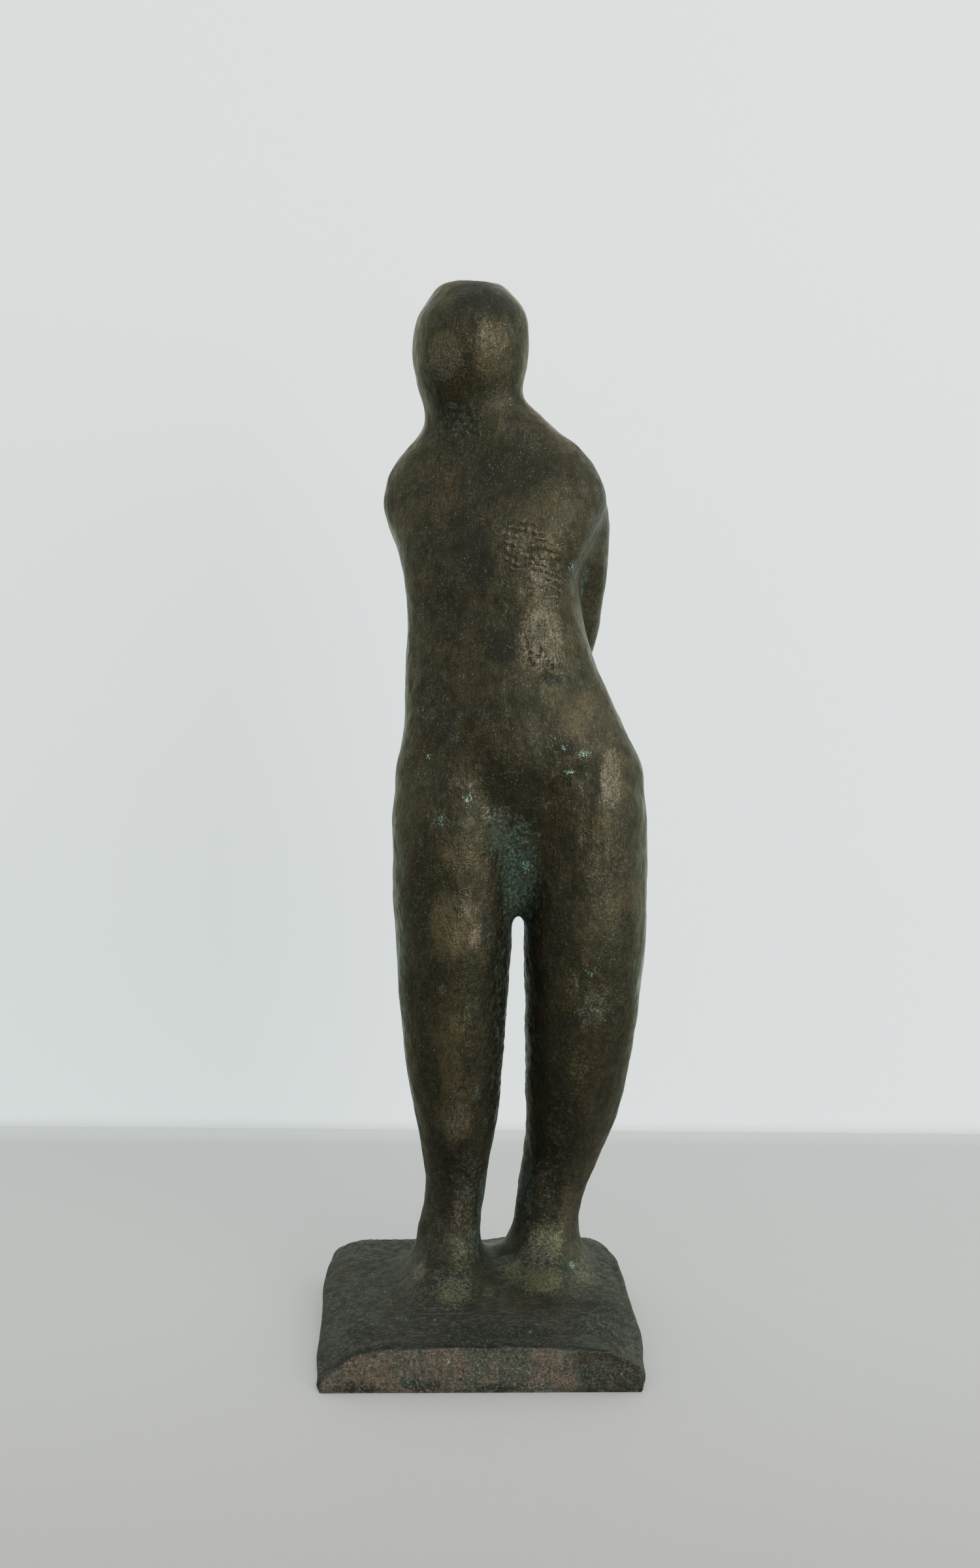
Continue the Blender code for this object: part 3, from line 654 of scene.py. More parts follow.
# Patches of patina by kind: strength, and the centre and reach of a soft ellipsoid on the skin. A few
# marked "dark" entries are painted shade and a few marked "tan" entries painted highlight.
PATCHES = {
    "crust": [
        (0.95, (18.9, -9, 149.5), (1.7, 3, 1.7)),
        (0.60, (24, -9.4, 148), (3.4, 3, 2.2)),
        (0.85, (20.6, -9.5, 143.6), (2.8, 3, 1)),
        (0.95, (-4, -9.1, 137.2), (2.2, 3, 1.7)),
        (0.75, (-10.2, -9.2, 131.7), (1.5, 3, 1.9)),
        (0.80, (-13.4, -5.1, 146.6), (1, 3, 1.5)),
        (0.80, (10.8, -2.3, 119.4), (2.2, 4, 2.4)),
        (0.95, (25.3, 6.8, 14.2), (1.4, 3, 1.6)),
        (0.80, (-17.3, -17.1, 9.9), (0.9, 1, 2)),
        (0.45, (26.7, -8.3, 94.3), (3.4, 3, 2.6)),
        (0.60, (20.4, -3, 193), (1.4, 3, 1.8)),
    ],
    "dark": [
        (0.98, (4, -8, 172.8), (5.6, 6, 6.2)),
        (0.80, (19.5, -8.5, 149.5), (6.2, 5, 4.6)),
        (0.70, (24.5, -9.3, 145), (5, 5, 4)),
        (1.30, (13, -8.2, 178), (2.3, 4, 3.6)),
        (0.80, (15, -8.6, 165.8), (7, 5, 2.8)),
        (0.55, (8, -9.5, 140), (9, 6, 6.5)),
        (0.60, (-8, -8, 150), (8, 6, 6)),
        (0.65, (22.4, -6, 82.4), (4.5, 6, 4)),
        (0.85, (-14, -5.7, 86), (1.8, 4, 1.9)),
        (0.60, (0, -4, 256), (15, 12, 8)),
        (0.55, (6, -4, 215), (20, 12, 10)),
        (0.45, (-2, -6, 196), (8, 8, 14)),
        (0.60, (16, 0, 62), (5, 9, 26)),
        # Painted shade in the pressed groove beside the foot at negative x.
        (0.85, (-11, 2, 17), (2.4, 6, 7)),
        (0.90, (4.5, 16, 13.5), (6, 12, 6)),
        (0.60, (5, 3, 12.5), (4, 6, 4)),
        # Painted shade in the crack behind the right end of the front lip.
        (0.60, (30.5, -33, 9), (7, 3, 3)),
        (0.60, (-37.6, -36, 4), (1.8, 4, 6)),
        (0.80, (-13, -36.5, 1.8), (9, 2, 3)),
        (0.80, (31, -14, 8.6), (13, 19, 5)),
        (0.45, (-26, -22, 9), (14, 14, 5)),
        (0.90, (3, -26, 9.5), (24, 11, 4)),
        (0.60, (26, -8.5, 141), (5, 5, 9)),
        (0.80, (-28, -36.5, 1.4), (8, 2, 2.6)),
        (0.70, (4, -36.5, 1.2), (9, 2, 2.2)),
    ],
    "green": [
        (0.70, (6.5, -5, 127), (11, 9, 11)),
        (0.80, (9.5, -2, 117), (10, 11, 18)),
        (0.75, (9, 3, 105), (10, 13, 15)),
        (0.60, (21.2, 0, 192), (2.6, 8, 7)),
        (0.35, (25, 8, 189), (4, 7, 10)),
        (0.42, (-7, -2, 229), (10, 8, 8)),
        (1.00, (2.2, 11, 30), (3, 10, 17)),
        (0.70, (-0.2, 9, 20), (3.6, 9, 8)),
        (0.75, (13.6, 13.5, 33), (3.4, 9, 15)),
        (0.55, (-16.6, -14.5, 9.9), (4, 4.5, 4)),
        (0.80, (14.5, -36.5, 1.2), (5, 2, 2.4)),
        (0.55, (26, -36.5, 4), (7, 2, 5)),
        (0.50, (-9, 3, 150), (14, 7, 10)),
        (0.45, (36, 24, 8), (7, 9, 6)),
        (0.60, (-16, -36.5, 2.4), (9, 2, 3)),
        (0.50, (-9, 22, 176), (4, 8, 22)),
        (0.50, (15, 22, 178), (4, 8, 22)),
        (0.70, (5, 22, 128), (5, 14, 16)),
        (0.50, (4, 30, 150), (14, 8, 5)),
        (0.50, (13.2, -8.2, 178), (2.2, 4, 3.2)),
        (0.38, (9.5, 6, 60), (6.5, 14, 40)),
    ],
    "haze": [
        (0.90, (3, -7.4, 132.5), (5.5, 5, 4.2)),
        (0.75, (8.8, -5.5, 128.5), (4, 6, 8)),
        (0.45, (16.5, -8, 136), (5, 5, 3.5)),
        (0.45, (-5, -8.5, 141), (6.5, 6, 5)),
        (0.50, (-1.3, -9, 144.3), (3.5, 4, 2)),
        (0.55, (-7.4, -7.7, 151.4), (3.2, 4, 2.5)),
        (0.50, (-11, -8, 132), (4.5, 5, 4.5)),
        (0.60, (27.5, -7, 84.5), (7, 6, 11)),
        (0.45, (22, 1.3, 56), (4, 7, 12)),
        (0.25, (-2.9, -8.7, 111.5), (4, 5, 6)),
        (0.60, (-0.8, -2.7, 61.5), (2.4, 5, 6)),
        (0.80, (16, 7, 17), (9, 10, 9)),
        (0.68, (-3, 6, 40), (7, 9, 18)),
        (0.56, (18, 10, 34), (6, 9, 14)),
        (0.75, (-5, -4, 14), (9, 9, 8)),
        (0.55, (-8, -3, 226), (10, 8, 9)),
        (0.22, (8, -5, 228), (5, 6, 6)),
        (0.40, (26, -1, 196), (5, 9, 7)),
        (0.50, (30, -18, 9.5), (12, 14, 5)),
        (0.55, (-7, 22, 90), (7, 10, 20)),
        (0.55, (24, 26, 84), (8, 10, 22)),
        (0.50, (-5.5, -3, 56), (6, 8, 14)),
        (0.50, (20, 2, 46), (8, 9, 20)),
        (0.40, (-9, -8, 148), (8, 5, 3.5)),
        (0.30, (-15, -4, 158), (5, 7, 12)),
    ],
    "khaki": [
        (0.60, (-1.6, 6.8, 29), (2.2, 6, 14)),
        (0.85, (-5.6, -7, 12.4), (7.5, 8, 5)),
        (0.60, (-3.5, 2, 17), (5.5, 8, 8)),
        (0.95, (17, -1, 13.6), (9, 9, 5.5)),
        (0.80, (9.2, 5, 13.2), (6, 8, 4.5)),
        (0.90, (18.5, 8, 19), (8, 9, 9)),
        (0.60, (28.6, 7, 11.8), (6.5, 12, 5)),
        (0.55, (3.6, -3.7, 11.4), (4.5, 6, 3)),
        (0.50, (22.8, -7.3, 90.6), (3, 5, 7)),
        (0.45, (25, -3, 70), (5, 8, 12)),
        (0.40, (-4, -6, 82), (4, 6, 6)),
    ],
    "matt": [
        (0.90, (22, -8, 158.5), (11, 9, 15)),
        (0.35, (-1, -7, 241.5), (7, 6, 5.5)),
        (0.85, (30, -6, 146), (11, 11, 24)),
        (0.55, (24, -2, 208), (15, 13, 18)),
        (0.80, (28, 4, 206), (8, 12, 22)),
        (0.60, (5, -5, 238.5), (8, 7, 6)),
        (0.70, (4, -2, 231), (9, 8, 7)),
        (0.70, (8, -5, 225), (8, 8, 8)),
        (0.75, (15.5, -5.5, 208.5), (10, 9, 12)),
        (0.80, (11, -9.5, 156), (9, 7, 17)),
        (0.60, (2, -8, 112), (7, 6, 14)),
        (0.50, (30, -8, 112), (9, 7, 22)),
        (0.50, (0, -7, 200), (16, 9, 22)),
    ],
    "pink": [
        (0.60, (-1.8, -8.2, 102.6), (2.8, 4, 5.5)),
        (0.35, (-3.6, -8.8, 109.5), (2.6, 4, 4)),
        (0.70, (-9.5, -8, 89.7), (1.5, 4, 3.2)),
        (0.65, (-4, -2, 54.5), (4.5, 6, 7)),
        (0.80, (-4.6, 5.9, 29), (2, 5, 8)),
        (0.70, (-14.3, 1, 14.7), (4, 6, 4)),
        (0.90, (16, 6.1, 16.4), (4.2, 5, 3.2)),
        (0.45, (11.5, -7.9, 192), (3.5, 4, 4)),
        (0.55, (-12, -36.5, 9), (24, 2, 4)),
        (0.45, (14, -36.5, 4), (6, 2, 5)),
    ],
    "tan": [
        (1.15, (13.2, -8, 175.5), (8, 6, 11)),
        # The next two lighten the rasped band: rubbed tan, and partly a painted highlight.
        (0.62, (12.8, -7.5, 189), (5, 7, 9)),
        (0.52, (8.5, -7.5, 198.5), (6, 6, 4)),
        (1.80, (31, -7.5, 142), (3.7, 6, 10.5)),
        # Painted highlight: the next patch, on the head's left, is rubbed tan lightened to stand in for
        # the head's broad highlight, and the one after is a painted highlight on the head's upper front.
        (0.62, (-10.5, -4, 241), (8.5, 7, 8.5)),
        (0.46, (-1.2, -7, 248), (4.8, 5, 5.3)),
        (0.28, (31.8, -8.9, 125.5), (4, 5, 7)),
        (0.28, (30.5, -9, 112), (5, 5, 8)),
        (0.30, (0.5, -7.6, 119), (3.6, 5, 13)),
        (0.42, (6.8, -9.8, 143.6), (2.2, 3, 0.7)),
        (0.40, (-1.4, -5.6, 203.6), (2.6, 3, 2.2)),
        (0.60, (4, 34, 160), (12, 8, 7)),
        (0.50, (-17, 16, 170), (6, 10, 12)),
        (0.45, (30, 18, 172), (6, 10, 14)),
        (0.52, (-5.5, -2.5, 55), (6, 7, 13)),
    ],
    "warm": [
        (0.60, (22.5, -8.3, 157.5), (9, 8, 10)),
        (0.95, (-10.5, -5, 243), (7, 7, 8)),
        (0.50, (1, -6, 239), (8, 6, 7)),
        (0.55, (8, -6, 237), (5, 6, 9)),
        (0.60, (-7.4, -6.1, 74), (6, 8, 17)),
        (0.80, (-9, -8, 106), (7, 8, 16)),
        (0.55, (-6, -9, 124), (6, 8, 9)),
        (0.55, (25.5, -8, 106), (6, 8, 13)),
        (0.35, (15, -7.5, 205), (9, 8, 8)),
        (0.60, (24.5, 11, 30), (4, 9, 12)),
        (0.45, (0, -7, 160), (9, 6, 8)),
        (0.80, (-6, -3, 56), (7, 8, 24)),
        (0.55, (3, 24, 200), (10, 10, 22)),
        (0.60, (-10, 26, 136), (9, 10, 14)),
        (0.60, (22, 26, 134), (9, 10, 14)),
    ],
}


def masks(points, normals, hollow):
    """Strength from 0 to 1 of each kind of patina at each vertex. The dark layer also holds painted shade
    and the tan layer painted highlight.
    """
    x, y, z = points.T
    figure = step(z, 13.0, 30.0)
    breakup = noise(points, (5, 5, 8), 21)
    layers = {kind: np.zeros(len(points)) for kind in PATCHES}
    for kind, patches in PATCHES.items():
        for strength, centre, reach in patches:
            layers[kind] = np.maximum(layers[kind], strength * blob(points, centre, reach))

    layers["green"] = np.maximum(layers["green"], 0.45 * leg_gap(points))
    layers["green"] += 0.3 * step(hollow, 0.05, 0.18) * figure
    layers["warm"] += 0.30 * step(breakup, 0.1, 0.8)
    sawn = field_sawn(points) * step(-normals[:, 1], 0.3, 0.7)
    layers["dark"] += 0.30 * step(-breakup, 0.1, 0.8) * (1 - sawn)
    rasped, crests = field_rasped(points), rasp_relief(points)
    polished_hip = blob(points, *HIP_WEAR)
    # On the rasped band, the tan on the crests is partly a painted highlight and the dark in the valleys
    # is painted shade.
    layers["tan"] = np.maximum(layers["tan"], rasped * (0.10 + 0.80 * step(crests, 0.10, 0.60)))
    layers["dark"] = np.maximum(layers["dark"], 0.45 * rasped * (1 - step(crests, 0.0, 0.22)))
    for pit_x, pit_z, wide, tall in PITS:
        pit = blob(points, (pit_x, -8.8, pit_z), (1.5 * wide, 3.0, 1.5 * tall))
        layers["dark"] = np.maximum(layers["dark"], pit)
    behind = y - SAWN_FRONT
    # Painted shade: a dark band on the deck in the trough just behind the sawn front's lip, put into the
    # dark layer.
    painted_trough_shade = step(behind, 0.8, 1.6) * (1 - step(behind, 4.0, 10.0)) * (1 - 0.5 * step(x, 14, 24))
    layers["dark"] = np.maximum(layers["dark"], painted_trough_shade * step(normals[:, 2], 0.3, 0.7))

    layers["matt"] *= 1 - np.clip(layers["tan"] + 0.5 * polished_hip, 0, 1)
    layers["sawn"] = sawn * (1 - 0.90 * step(x + 3 * breakup, 17, 22))
    from_feet = np.hypot((x - 6.0) / 25.0, (y - 8.0) / 21.0) + 0.10 * breakup
    on_deck = (1 - step(z, 12.0, 17.0)) * step(from_feet, 0.75, 1.15)
    layers["slab"] = np.maximum(on_deck, 0.35 * (1 - step(z, 22, 70)))
    return {kind: np.clip(strength, 0, 1) for kind, strength in layers.items()}


def write_layer(mesh, name, values):
    layer = mesh.attributes.new(name, "FLOAT", "POINT")
    layer.data.foreach_set("value", values.astype(np.float32))


def mark_hollows(mesh):
    """Keeps how hollow the surface is at each vertex, above zero in a dip and below on a ridge."""
    points, edges = points_of(mesh), edges_of(mesh)
    soft = points
    for _ in range(6):
        soft = neighbour_mean(soft, edges)
    depth = ((soft - points) * normals_of(mesh)).sum(axis=1)
    write_layer(mesh, "hollow", neighbour_mean(depth[:, None], edges)[:, 0])


def paint(mesh):
    points, normals = points_of(mesh), normals_of(mesh)
    hollow = np.zeros(len(points))
    if "hollow" in mesh.attributes:
        flat = np.zeros(len(points), np.float32)
        mesh.attributes["hollow"].data.foreach_get("value", flat)
        hollow = flat.astype(float)
    for name, strength in masks(points, normals, hollow).items():
        write_layer(mesh, name, strength)


# ---------------------------------------------------------------- materials

BRONZE_BUMP = 0.24
STEEL_BUMP = 0.02


class Graph:
    """One material's nodes, made with short calls. Values are numbers, colours or sockets."""

    def __init__(self, name):
        self.material = bpy.data.materials.new(name)
        self.material.use_nodes = True
        self.tree = self.material.node_tree
        self.tree.nodes.clear()
        place = self.tree.nodes.new("ShaderNodeTexCoord").outputs["Object"]
        self.place = self.vector("MULTIPLY", place, (1 / MM, 1 / MM, 1 / MM))

    def node(self, kind, inputs=None, **settings):
        made = self.tree.nodes.new("ShaderNode" + kind)
        for key, value in settings.items():
            setattr(made, key, value)
        for key, value in (inputs or {}).items():
            if isinstance(value, bpy.types.NodeSocket):
                self.tree.links.new(value, made.inputs[key])
            else:
                made.inputs[key].default_value = value
        return made

    def vector(self, operation, a, b):
        return self.node("VectorMath", {0: a, 1: b}, operation=operation).outputs[0]

    def math(self, operation, a, b=0.0):
        return self.node("Math", {0: a, 1: b}, operation=operation).outputs[0]

    def noise(self, size, detail=2.0, stretch=(1, 1, 1), shift=0.0):
        """Noise from 0 to 1 with features about size millimetres across, times stretch."""
        scale = tuple(1 / (size * s) for s in stretch)
        place = self.vector("MULTIPLY", self.place, scale)
        place = self.vector("ADD", place, (shift, shift * 0.7, shift * 1.3))
        inputs = {"Vector": place, "Scale": 1.0, "Detail": detail, "Roughness": 0.55}
        return self.node("TexNoise", inputs).outputs[0]

    def rise(self, value, low, high, to_low=0.0, to_high=1.0):
        inputs = {0: value, 1: low, 2: high, 3: to_low, 4: to_high}
        made = self.node("MapRange", inputs, interpolation_type="SMOOTHSTEP")
        return made.outputs[0]

    def mix(self, share, a, b):
        made = self.node("Mix", data_type="RGBA")
        for socket, value in zip((0, 6, 7), (share, a, b)):
            if isinstance(value, bpy.types.NodeSocket):
                self.tree.links.new(value, made.inputs[socket])
            else:
                made.inputs[socket].default_value = value
        return made.outputs[2]

    def painted(self, name):
        return self.node("Attribute", attribute_name=name).outputs["Fac"]

    def patch(self, name, texture, raggedness, low, high, most):
        """A painted layer whose border a texture breaks up, from 0 to most."""
        painted = self.painted(name)
        around = self.math("MULTIPLY", self.math("SUBTRACT", texture, 0.5), raggedness)
        share = self.rise(self.math("ADD", painted, around), low, high, 0.0, most)
        return self.math("MULTIPLY", share, self.rise(painted, 0.0, 0.2))

    def finish(self, colour, roughness, metallic, height, depth, **plain):
        bump = self.node("Bump", {"Height": height, "Strength": 1.0, "Distance": depth * MM})
        inputs = {
            "Base Color": colour,
            "Roughness": roughness,
            "Metallic": metallic,
            "Normal": bump.outputs[0],
        }
        shader = self.node("BsdfPrincipled", {**inputs, **plain})
        self.node("OutputMaterial", {"Surface": shader.outputs[0]})
        return self.material


def rgb(red, green, blue):
    """A linear colour."""
    return (red, green, blue, 1.0)


class Bronze(Graph):
    """Patinated bronze: brushed streaks, worn high places, verdigris and cast grain, with painted shade
    and painted highlight in a few places.
    """

    def __init__(self, name):
        super().__init__(name)
        self.streak = self.noise(0.42, 3.0, (1, 1, 7))
        self.cloud = self.noise(8.0, 3.0, (1, 1, 1.6), 3.0)
        self.mottle = self.noise(2.6, 4.0, (1, 1, 1.5), 7.0)
        self.leather = self.noise(1.3, 3.0, (1, 1, 1.2), 9.0)
        self.grain = self.noise(0.42, 3.0, (1, 1, 1), 11.0)
        self.crust = self.noise(0.75, 4.0, (1, 1, 1), 15.0)
        self.pepper = self.noise(0.36, 1.0, (1, 1, 1), 19.0)
        self.slab = self.painted("slab")
        self.sawn = self.painted("sawn")
        self.dark = self.patch("dark", self.leather, 1.4, 0.20, 0.85, 0.88)
        self.tan = self.patch("tan", self.crust, 1.6, 0.25, 0.65, 0.85)
        self.green = self.patch("green", self.leather, 1.7, 0.15, 1.00, 0.88)
        self.deep = self.mix(self.slab, rgb(0.0088, 0.0092, 0.0060), rgb(0.0090, 0.0098, 0.0070))
        line = self.noise(2.3, 4.0, (1, 1, 1.5), 23.0)
        line = self.math("ABSOLUTE", self.math("SUBTRACT", line, 0.5))
        crack = self.rise(line, 0.004, 0.020, 1.0, 0.0)
        self.crack = self.times(crack, self.rise(self.tan, 0.0, 0.6, 0.14, 0.30))

    def times(self, a, b):
        return self.math("MULTIPLY", a, b)

    def ground(self):
        """Brown and olive clouds, and the redder metal of the sawn front."""
        olive = self.mix(self.slab, rgb(0.0215, 0.0207, 0.0124), rgb(0.0175, 0.0178, 0.0130))
        brown = self.mix(self.slab, rgb(0.0325, 0.0272, 0.0150), rgb(0.0225, 0.0208, 0.0145))
        colour = self.mix(self.rise(self.cloud, 0.40, 0.62), olive, brown)
        colour = self.mix(self.rise(self.mottle, 0.46, 0.66, 0.0, 0.45), colour, self.deep)
        light = self.rise(self.leather, 0.50, 0.66, 0.0, 0.48)
        colour = self.mix(light, colour, rgb(0.041, 0.041, 0.025))
        red, grey = rgb(0.086, 0.062, 0.046), rgb(0.036, 0.041, 0.029)
        metal = self.mix(self.rise(self.cloud, 0.38, 0.60), rgb(0.044, 0.048, 0.034), red)
        metal = self.mix(self.rise(self.leather, 0.44, 0.60, 0.0, 0.65), metal, grey)
        return self.mix(self.sawn, colour, metal)

    def patinated(self, colour):
        """The painted layers over the ground, from the browns to the blue-green crust."""
        warm = self.patch("warm", self.mottle, 1.4, 0.25, 0.95, 0.85)
        colour = self.mix(warm, colour, rgb(0.054, 0.045, 0.025))
        khaki = self.patch("khaki", self.crust, 2.4, 0.20, 1.00, 0.90)
        colour = self.mix(khaki, colour, rgb(0.078, 0.078, 0.042))
        pink = self.patch("pink", self.crust, 2.4, 0.20, 1.05, 0.90)
        colour = self.mix(pink, colour, rgb(0.086, 0.064, 0.050))
        # The dark layer is patina and, in the trough, grooves and rasp valleys, painted shade.
        colour = self.mix(self.dark, colour, self.deep)
        # The tan layer is rubbed wear and, on the head and the rasped crests, a painted highlight.
        fine = self.rise(self.grain, 0.36, 0.60)
        worn_and_highlight_tan = self.mix(fine, rgb(0.046, 0.041, 0.027), rgb(0.078, 0.069, 0.047))
        colour = self.mix(self.tan, colour, worn_and_highlight_tan)
        haze = self.patch("haze", self.leather, 1.4, 0.20, 0.95, 0.85)
        powder = self.times(haze, self.rise(self.crust, 0.38, 0.66))
        colour = self.mix(powder, colour, rgb(0.092, 0.098, 0.080))
        pale = self.rise(self.crust, 0.38, 0.72)
        verdigris = self.mix(pale, rgb(0.0085, 0.0170, 0.0125), rgb(0.044, 0.076, 0.058))
        colour = self.mix(self.green, colour, verdigris)
        spots = self.patch("crust", self.grain, 3.4, 0.62, 1.05, 1.0)
        return self.mix(spots, colour, rgb(0.11, 0.215, 0.165))

    def weathered(self, colour):
        """Cracks, brush marks, grain and dust, with the slab's scratches and chips."""
        colour = self.mix(self.crack, colour, self.deep)
        brushing = self.math("SUBTRACT", 1.0, self.times(self.sawn, 0.8))
        brushing = self.times(brushing, self.rise(self.streak, 0.36, 0.54, 0.44, 0.0))
        colour = self.mix(brushing, colour, self.deep)
        colour = self.mix(self.rise(self.grain, 0.37, 0.52, 0.48, 0.0), colour, self.deep)
        gritty = self.math("MAXIMUM", self.sawn, self.times(self.slab, 0.80))
        gap = self.times(gritty, self.rise(self.grain, 0.40, 0.54, 0.55, 0.0))
        gap = self.times(gap, self.rise(self.mottle, 0.38, 0.60, 0.35, 1.0))
        colour = self.mix(gap, colour, rgb(0.013, 0.016, 0.012))
        bare = self.times(gritty, self.rise(self.crust, 0.53, 0.64, 0.0, 0.60))
        metal = self.mix(self.sawn, rgb(0.056, 0.056, 0.044), rgb(0.115, 0.100, 0.078))
        colour = self.mix(bare, colour, metal)
        dust = self.rise(self.pepper, 0.61, 0.73, 0.0, 0.60)
        dust = self.times(dust, self.rise(self.mottle, 0.35, 0.60, 1.0, 0.35))
        colour = self.mix(dust, colour, rgb(0.120, 0.114, 0.086))
        scratch = self.rise(self.noise(0.5, 4.0, (4.5, 1.6, 1), 31.0), 0.52, 0.66, 0.0, 0.62)
        scratch = self.times(scratch, self.rise(self.dark, 0.0, 0.88, 1.0, 0.40))
        colour = self.mix(self.times(scratch, self.slab), colour, rgb(0.052, 0.054, 0.044))
        chips = self.rise(self.noise(1.3, 0.0, (1, 1, 1), 29.0), 0.83, 0.86)
        chips = self.times(chips, self.rise(self.slab, 0.3, 1.0, 0.0, 0.5))
        return self.mix(chips, colour, rgb(0.20, 0.20, 0.16))

    def gloss(self):
        """Roughness and metallic. Painted matt and dark places shine least."""
        dull = self.math("MAXIMUM", self.painted("matt"), self.dark)
        roughness = self.rise(self.mottle, 0.30, 0.70, 0.33, 0.48)
        shares = ((self.slab, 0.30), (self.green, 0.25), (self.sawn, 0.10), (self.tan, 0.10), (dull, 0.22))
        for layer, extra in shares:
            roughness = self.math("ADD", roughness, self.times(layer, extra))
        metallic = self.math("SUBTRACT", 0.70, self.times(self.slab, 0.25))
        metallic = self.times(metallic, self.rise(self.green, 0.0, 1.0, 1.0, 0.3))
        metallic = self.times(metallic, self.rise(dull, 0.0, 1.0, 1.0, 0.55))
        return roughness, metallic

    def relief(self):
        fine = self.times(self.grain, self.rise(self.slab, 0.0, 1.0, 0.45, 1.1))
        height = self.math("ADD", self.times(self.streak, 0.23), fine)
        leather = self.times(self.leather, self.rise(self.slab, 0.0, 1.0, 0.82, 0.55))
        height = self.math("ADD", height, leather)
        height = self.math("SUBTRACT", height, self.times(self.crack, 0.4))
        return self.math("ADD", height, self.times(self.green, 0.2))


def bronze(name):
    made = Bronze(name)
    colour = made.weathered(made.patinated(made.ground()))
    plain = {"Specular IOR Level": 0.25, "Specular Tint": rgb(0.56, 0.54, 0.47)}
    return made.finish(colour, *made.gloss(), made.relief(), BRONZE_BUMP, **plain)


def steel():
    g = Graph("zinc_plated_steel")
    cloud = g.noise(1.8, 3.0)
    grain = g.noise(0.25, 3.0, (1, 1, 1), 5.0)
    colour = g.mix(g.rise(cloud, 0.35, 0.65), rgb(0.52, 0.52, 0.50), rgb(0.36, 0.36, 0.35))
    roughness = g.rise(grain, 0.30, 0.70, 0.30, 0.48)
    metallic = g.rise(cloud, 0.30, 0.75, 1.0, 0.9)
    return g.finish(colour, roughness, metallic, grain, STEEL_BUMP)


def plain_matt(name, near, far, axis, reach, edge, glow=0.0, one_sided=False):
    """A pale stage surface, near to far colour over reach along one axis, which paints light and shade on
    it. Edge is a last change, painted at the corner, and glow is painted light the surface gives off.
    """
    g = Graph(name)
    grain = g.noise(3.0, 3.0)
    along = g.node("SeparateXYZ", {0: g.place}).outputs[axis]
    colour = g.mix(g.rise(along, *reach), near, far)
    colour = g.mix(g.rise(along, *edge[:2]), colour, edge[2])
    tone = g.mix(g.rise(grain, 0.3, 0.7, 0.0, 0.015), colour, rgb(0.0, 0.0, 0.0))
    bump = g.node("Bump", {"Height": grain, "Strength": 0.15, "Distance": 0.1 * MM})
    inputs = {"Base Color": tone, "Roughness": 0.75, "Normal": bump.outputs[0]}
    plain = {"Specular IOR Level": 0.25, "Emission Color": rgb(0.85, 1.0, 0.95)}
    plain["Emission Strength"] = glow
    shader = g.node("BsdfPrincipled", {**inputs, **plain}).outputs[0]
    if one_sided:
        back = g.node("NewGeometry").outputs["Backfacing"]
        clear = g.node("BsdfTransparent").outputs[0]
        shader = g.node("MixShader", {0: back, 1: shader, 2: clear}).outputs[0]
    g.node("OutputMaterial", {"Surface": shader})
    return g.material


# ---------------------------------------------------------------- the statuette


def add_piece(name, mesh, material, slot, *replaced):
    piece = bpy.data.objects.new(name, mesh)
    bpy.context.scene.collection.objects.link(piece)
    mesh.materials.clear()
    mesh.materials.append(material)
    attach(piece, "root")
    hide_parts(*replaced)
    return piece


def build_statuette():
    form = sculpt(whole_form())
    surface = BVHTree.FromPolygons(
        [vert.co for vert in form.vertices], [tuple(face.vertices) for face in form.polygons]
    )
    mark_hollows(form)
    figure = sliced(form, (0, 0, SEAM_HEIGHT), (0, 0, -1))
    base = sliced(form, (0, 0, SEAM_HEIGHT), (0, 0, 1))
    drills = []
    for name in PLUG_NODES:
        inner, axis, radius, length = plug_axis(name)
        drills.append(tube(inner, axis, radius + PLUG_CLEARANCE, -0.2, length + 3, 48))
    studs, sockets = [], []
    for foot in stud_feet():
        drills.append(tube(foot, UP, STUD_HOLE_RADIUS, 5, STUD_HOLE_TOP))
        studs.append(tube(foot, UP, STUD_HOLE_RADIUS, 3, 20))
        sockets.append(tube(foot, UP, COUNTERBORE_RADIUS, -2, COUNTERBORE_DEPTH, 64))
    figure = cut(figure, joined(drills))
    base = cut(cut(base, joined(sockets)), joined(studs))

    skin = bronze("patinated_bronze_figure")
    slab = bronze("patinated_bronze_base")
    chased = bronze("patinated_bronze_plugs")
    for mesh in (figure, base):
        shade_smooth(mesh)
        paint(mesh)
    add_piece("figure_skin", figure, skin, "figure_bronze", "figure_casting")
    add_piece("base_skin", base, slab, "base_bronze", "base_casting")
    for name in PLUG_NODES:
        plug = shade_smooth(plug_end(name, surface))
        paint(plug)
        add_piece(name.replace("core_pin", "chased_pin") + "_end", plug, chased, "chased_bronze", name)
    zinc = steel()
    for name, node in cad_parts.items():
        if name.endswith(("stud", "nut", "washer")):
            node.data.materials.clear()
            node.data.materials.append(zinc)


# ---------------------------------------------------------------- stage, light and camera

CAMERA_PLACE = (-15.55, -416.5, 182.15)
CAMERA_PITCH = 5.84
CAMERA_YAW = 2.38
CAMERA_ROLL = 0.865
CAMERA_LENS = 39.0
WALL_DISTANCE = 166.0
WALL_TURN = -1.0
# Light the wall gives off itself: painted light, from no lamp.
WALL_GLOW = 0.3
STAGE_WIDTH = 5000.0
ROOM_BRIGHTNESS = (2.05, 1.9)
WINDOW_PLACE = (0.92, -1.18, 0.34)
WINDOW_TARGET = (0, 0, 0.14)
WINDOW_SIZE = (0.95, 0.65)
WINDOW_POWER = 27


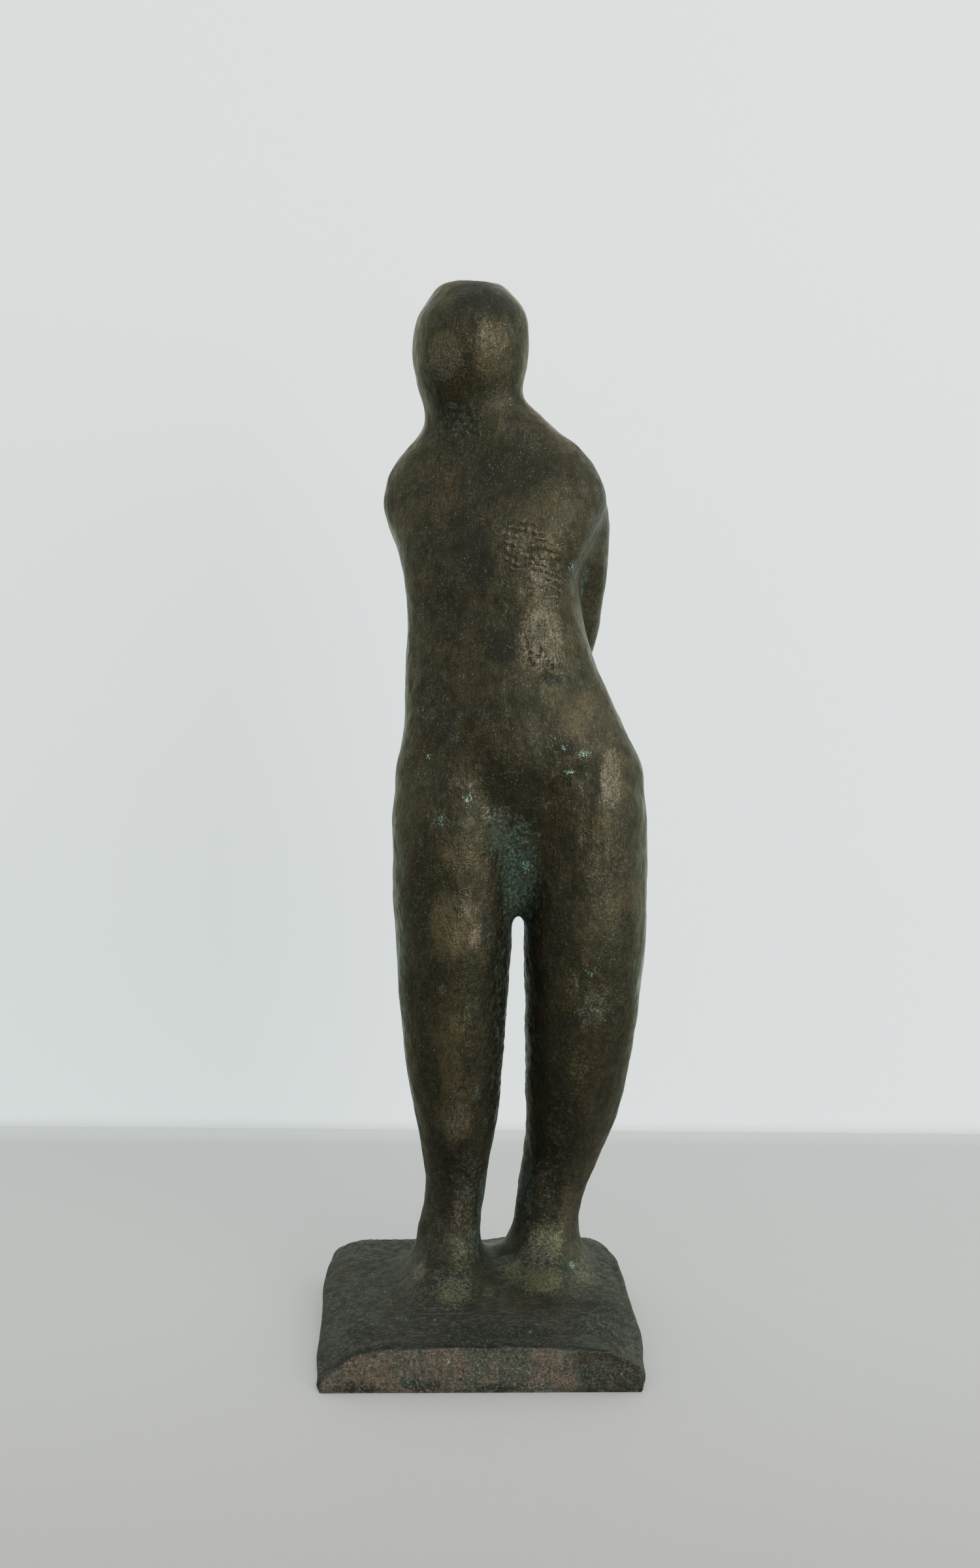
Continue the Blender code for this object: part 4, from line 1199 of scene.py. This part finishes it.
def build_stage():
    half = STAGE_WIDTH / 2
    floor_mesh = mesh_from(
        [(-half, -half, 0), (half, -half, 0), (half, half, 0), (-half, half, 0)], [(0, 1, 2, 3)]
    )
    # The shelf is painted darker toward its front edge, a painted shade, and lighter where it meets the
    # wall, painted light that softens the corner.
    near, far = rgb(0.250, 0.240, 0.188), rgb(0.405, 0.402, 0.372)
    corner = (146.0, 167.0, rgb(0.54, 0.55, 0.53))
    floor_mesh.materials.append(plain_matt("pale_shelf", near, far, 1, (-230, 20), corner))
    wall_mesh = mesh_from(
        [(-half, 0, 0), (half, 0, 0), (half, 0, half), (-half, 0, half)], [(0, 1, 2, 3)]
    )
    # The wall is painted lighter toward the top, a painted light, and darker at its foot, a painted shade
    # in the corner; its glow adds painted light all over.
    low, high = rgb(0.83, 0.97, 0.955), rgb(0.965, 0.985, 0.975)
    corner = (4.5, -1.0, rgb(0.50, 0.55, 0.54))
    paper = plain_matt("pale_wall", low, high, 2, (60, 330), corner, WALL_GLOW, one_sided=True)
    wall_mesh.materials.append(paper)
    floor = bpy.data.objects.new("floor", floor_mesh)
    wall = bpy.data.objects.new("wall", wall_mesh)
    wall.location = (0, WALL_DISTANCE * MM, 0)
    wall.rotation_euler = (0, 0, math.radians(WALL_TURN))
    for surface in (floor, wall):
        bpy.context.scene.collection.objects.link(surface)


def build_light():
    """One soft window, in metres and watts, and a bright room."""
    light = bpy.data.lights.new("window", "AREA")
    light.shape = "RECTANGLE"
    light.size, light.size_y = WINDOW_SIZE
    light.energy = WINDOW_POWER
    light.color = (0.98, 1.0, 1.0)
    window = bpy.data.objects.new("window", light)
    window.location = WINDOW_PLACE
    aim = Vector(WINDOW_TARGET) - Vector(WINDOW_PLACE)
    window.rotation_euler = aim.to_track_quat("-Z", "Y").to_euler()
    bpy.context.scene.collection.objects.link(window)

    world = bpy.data.worlds.new("room")
    world.use_nodes = True
    tree = world.node_tree
    background = tree.nodes["Background"]
    background.inputs[0].default_value = (0.93, 0.97, 1.0, 1.0)
    split = tree.nodes.new("ShaderNodeSeparateXYZ")
    height = tree.nodes.new("ShaderNodeMapRange")
    direction = tree.nodes.new("ShaderNodeTexCoord").outputs["Generated"]
    tree.links.new(direction, split.inputs[0])
    tree.links.new(split.outputs[2], height.inputs[0])
    for socket, value in zip((1, 2, 3, 4), (0.0, 1.0, *ROOM_BRIGHTNESS)):
        height.inputs[socket].default_value = value
    tree.links.new(height.outputs[0], background.inputs[1])
    bpy.context.scene.world = world


def build_camera():
    pitch, yaw = math.radians(CAMERA_PITCH), math.radians(CAMERA_YAW)
    forward = Vector(
        (math.sin(yaw) * math.cos(pitch), math.cos(yaw) * math.cos(pitch), -math.sin(pitch))
    )
    right = Vector((math.cos(yaw), -math.sin(yaw), 0))
    upward = right.cross(forward)
    roll = Matrix.Rotation(-math.radians(CAMERA_ROLL), 3, forward)
    right, upward = roll @ right, roll @ upward
    camera = bpy.data.objects.new("camera", bpy.data.cameras.new("camera"))
    turn = Matrix((right, upward, -forward)).transposed().to_4x4()
    camera.matrix_world = Matrix.Translation(Vector(CAMERA_PLACE) * MM) @ turn
    camera.data.lens = CAMERA_LENS
    bpy.context.scene.collection.objects.link(camera)
    bpy.context.scene.camera = camera


build_camera()
build_stage()
build_light()
build_statuette()
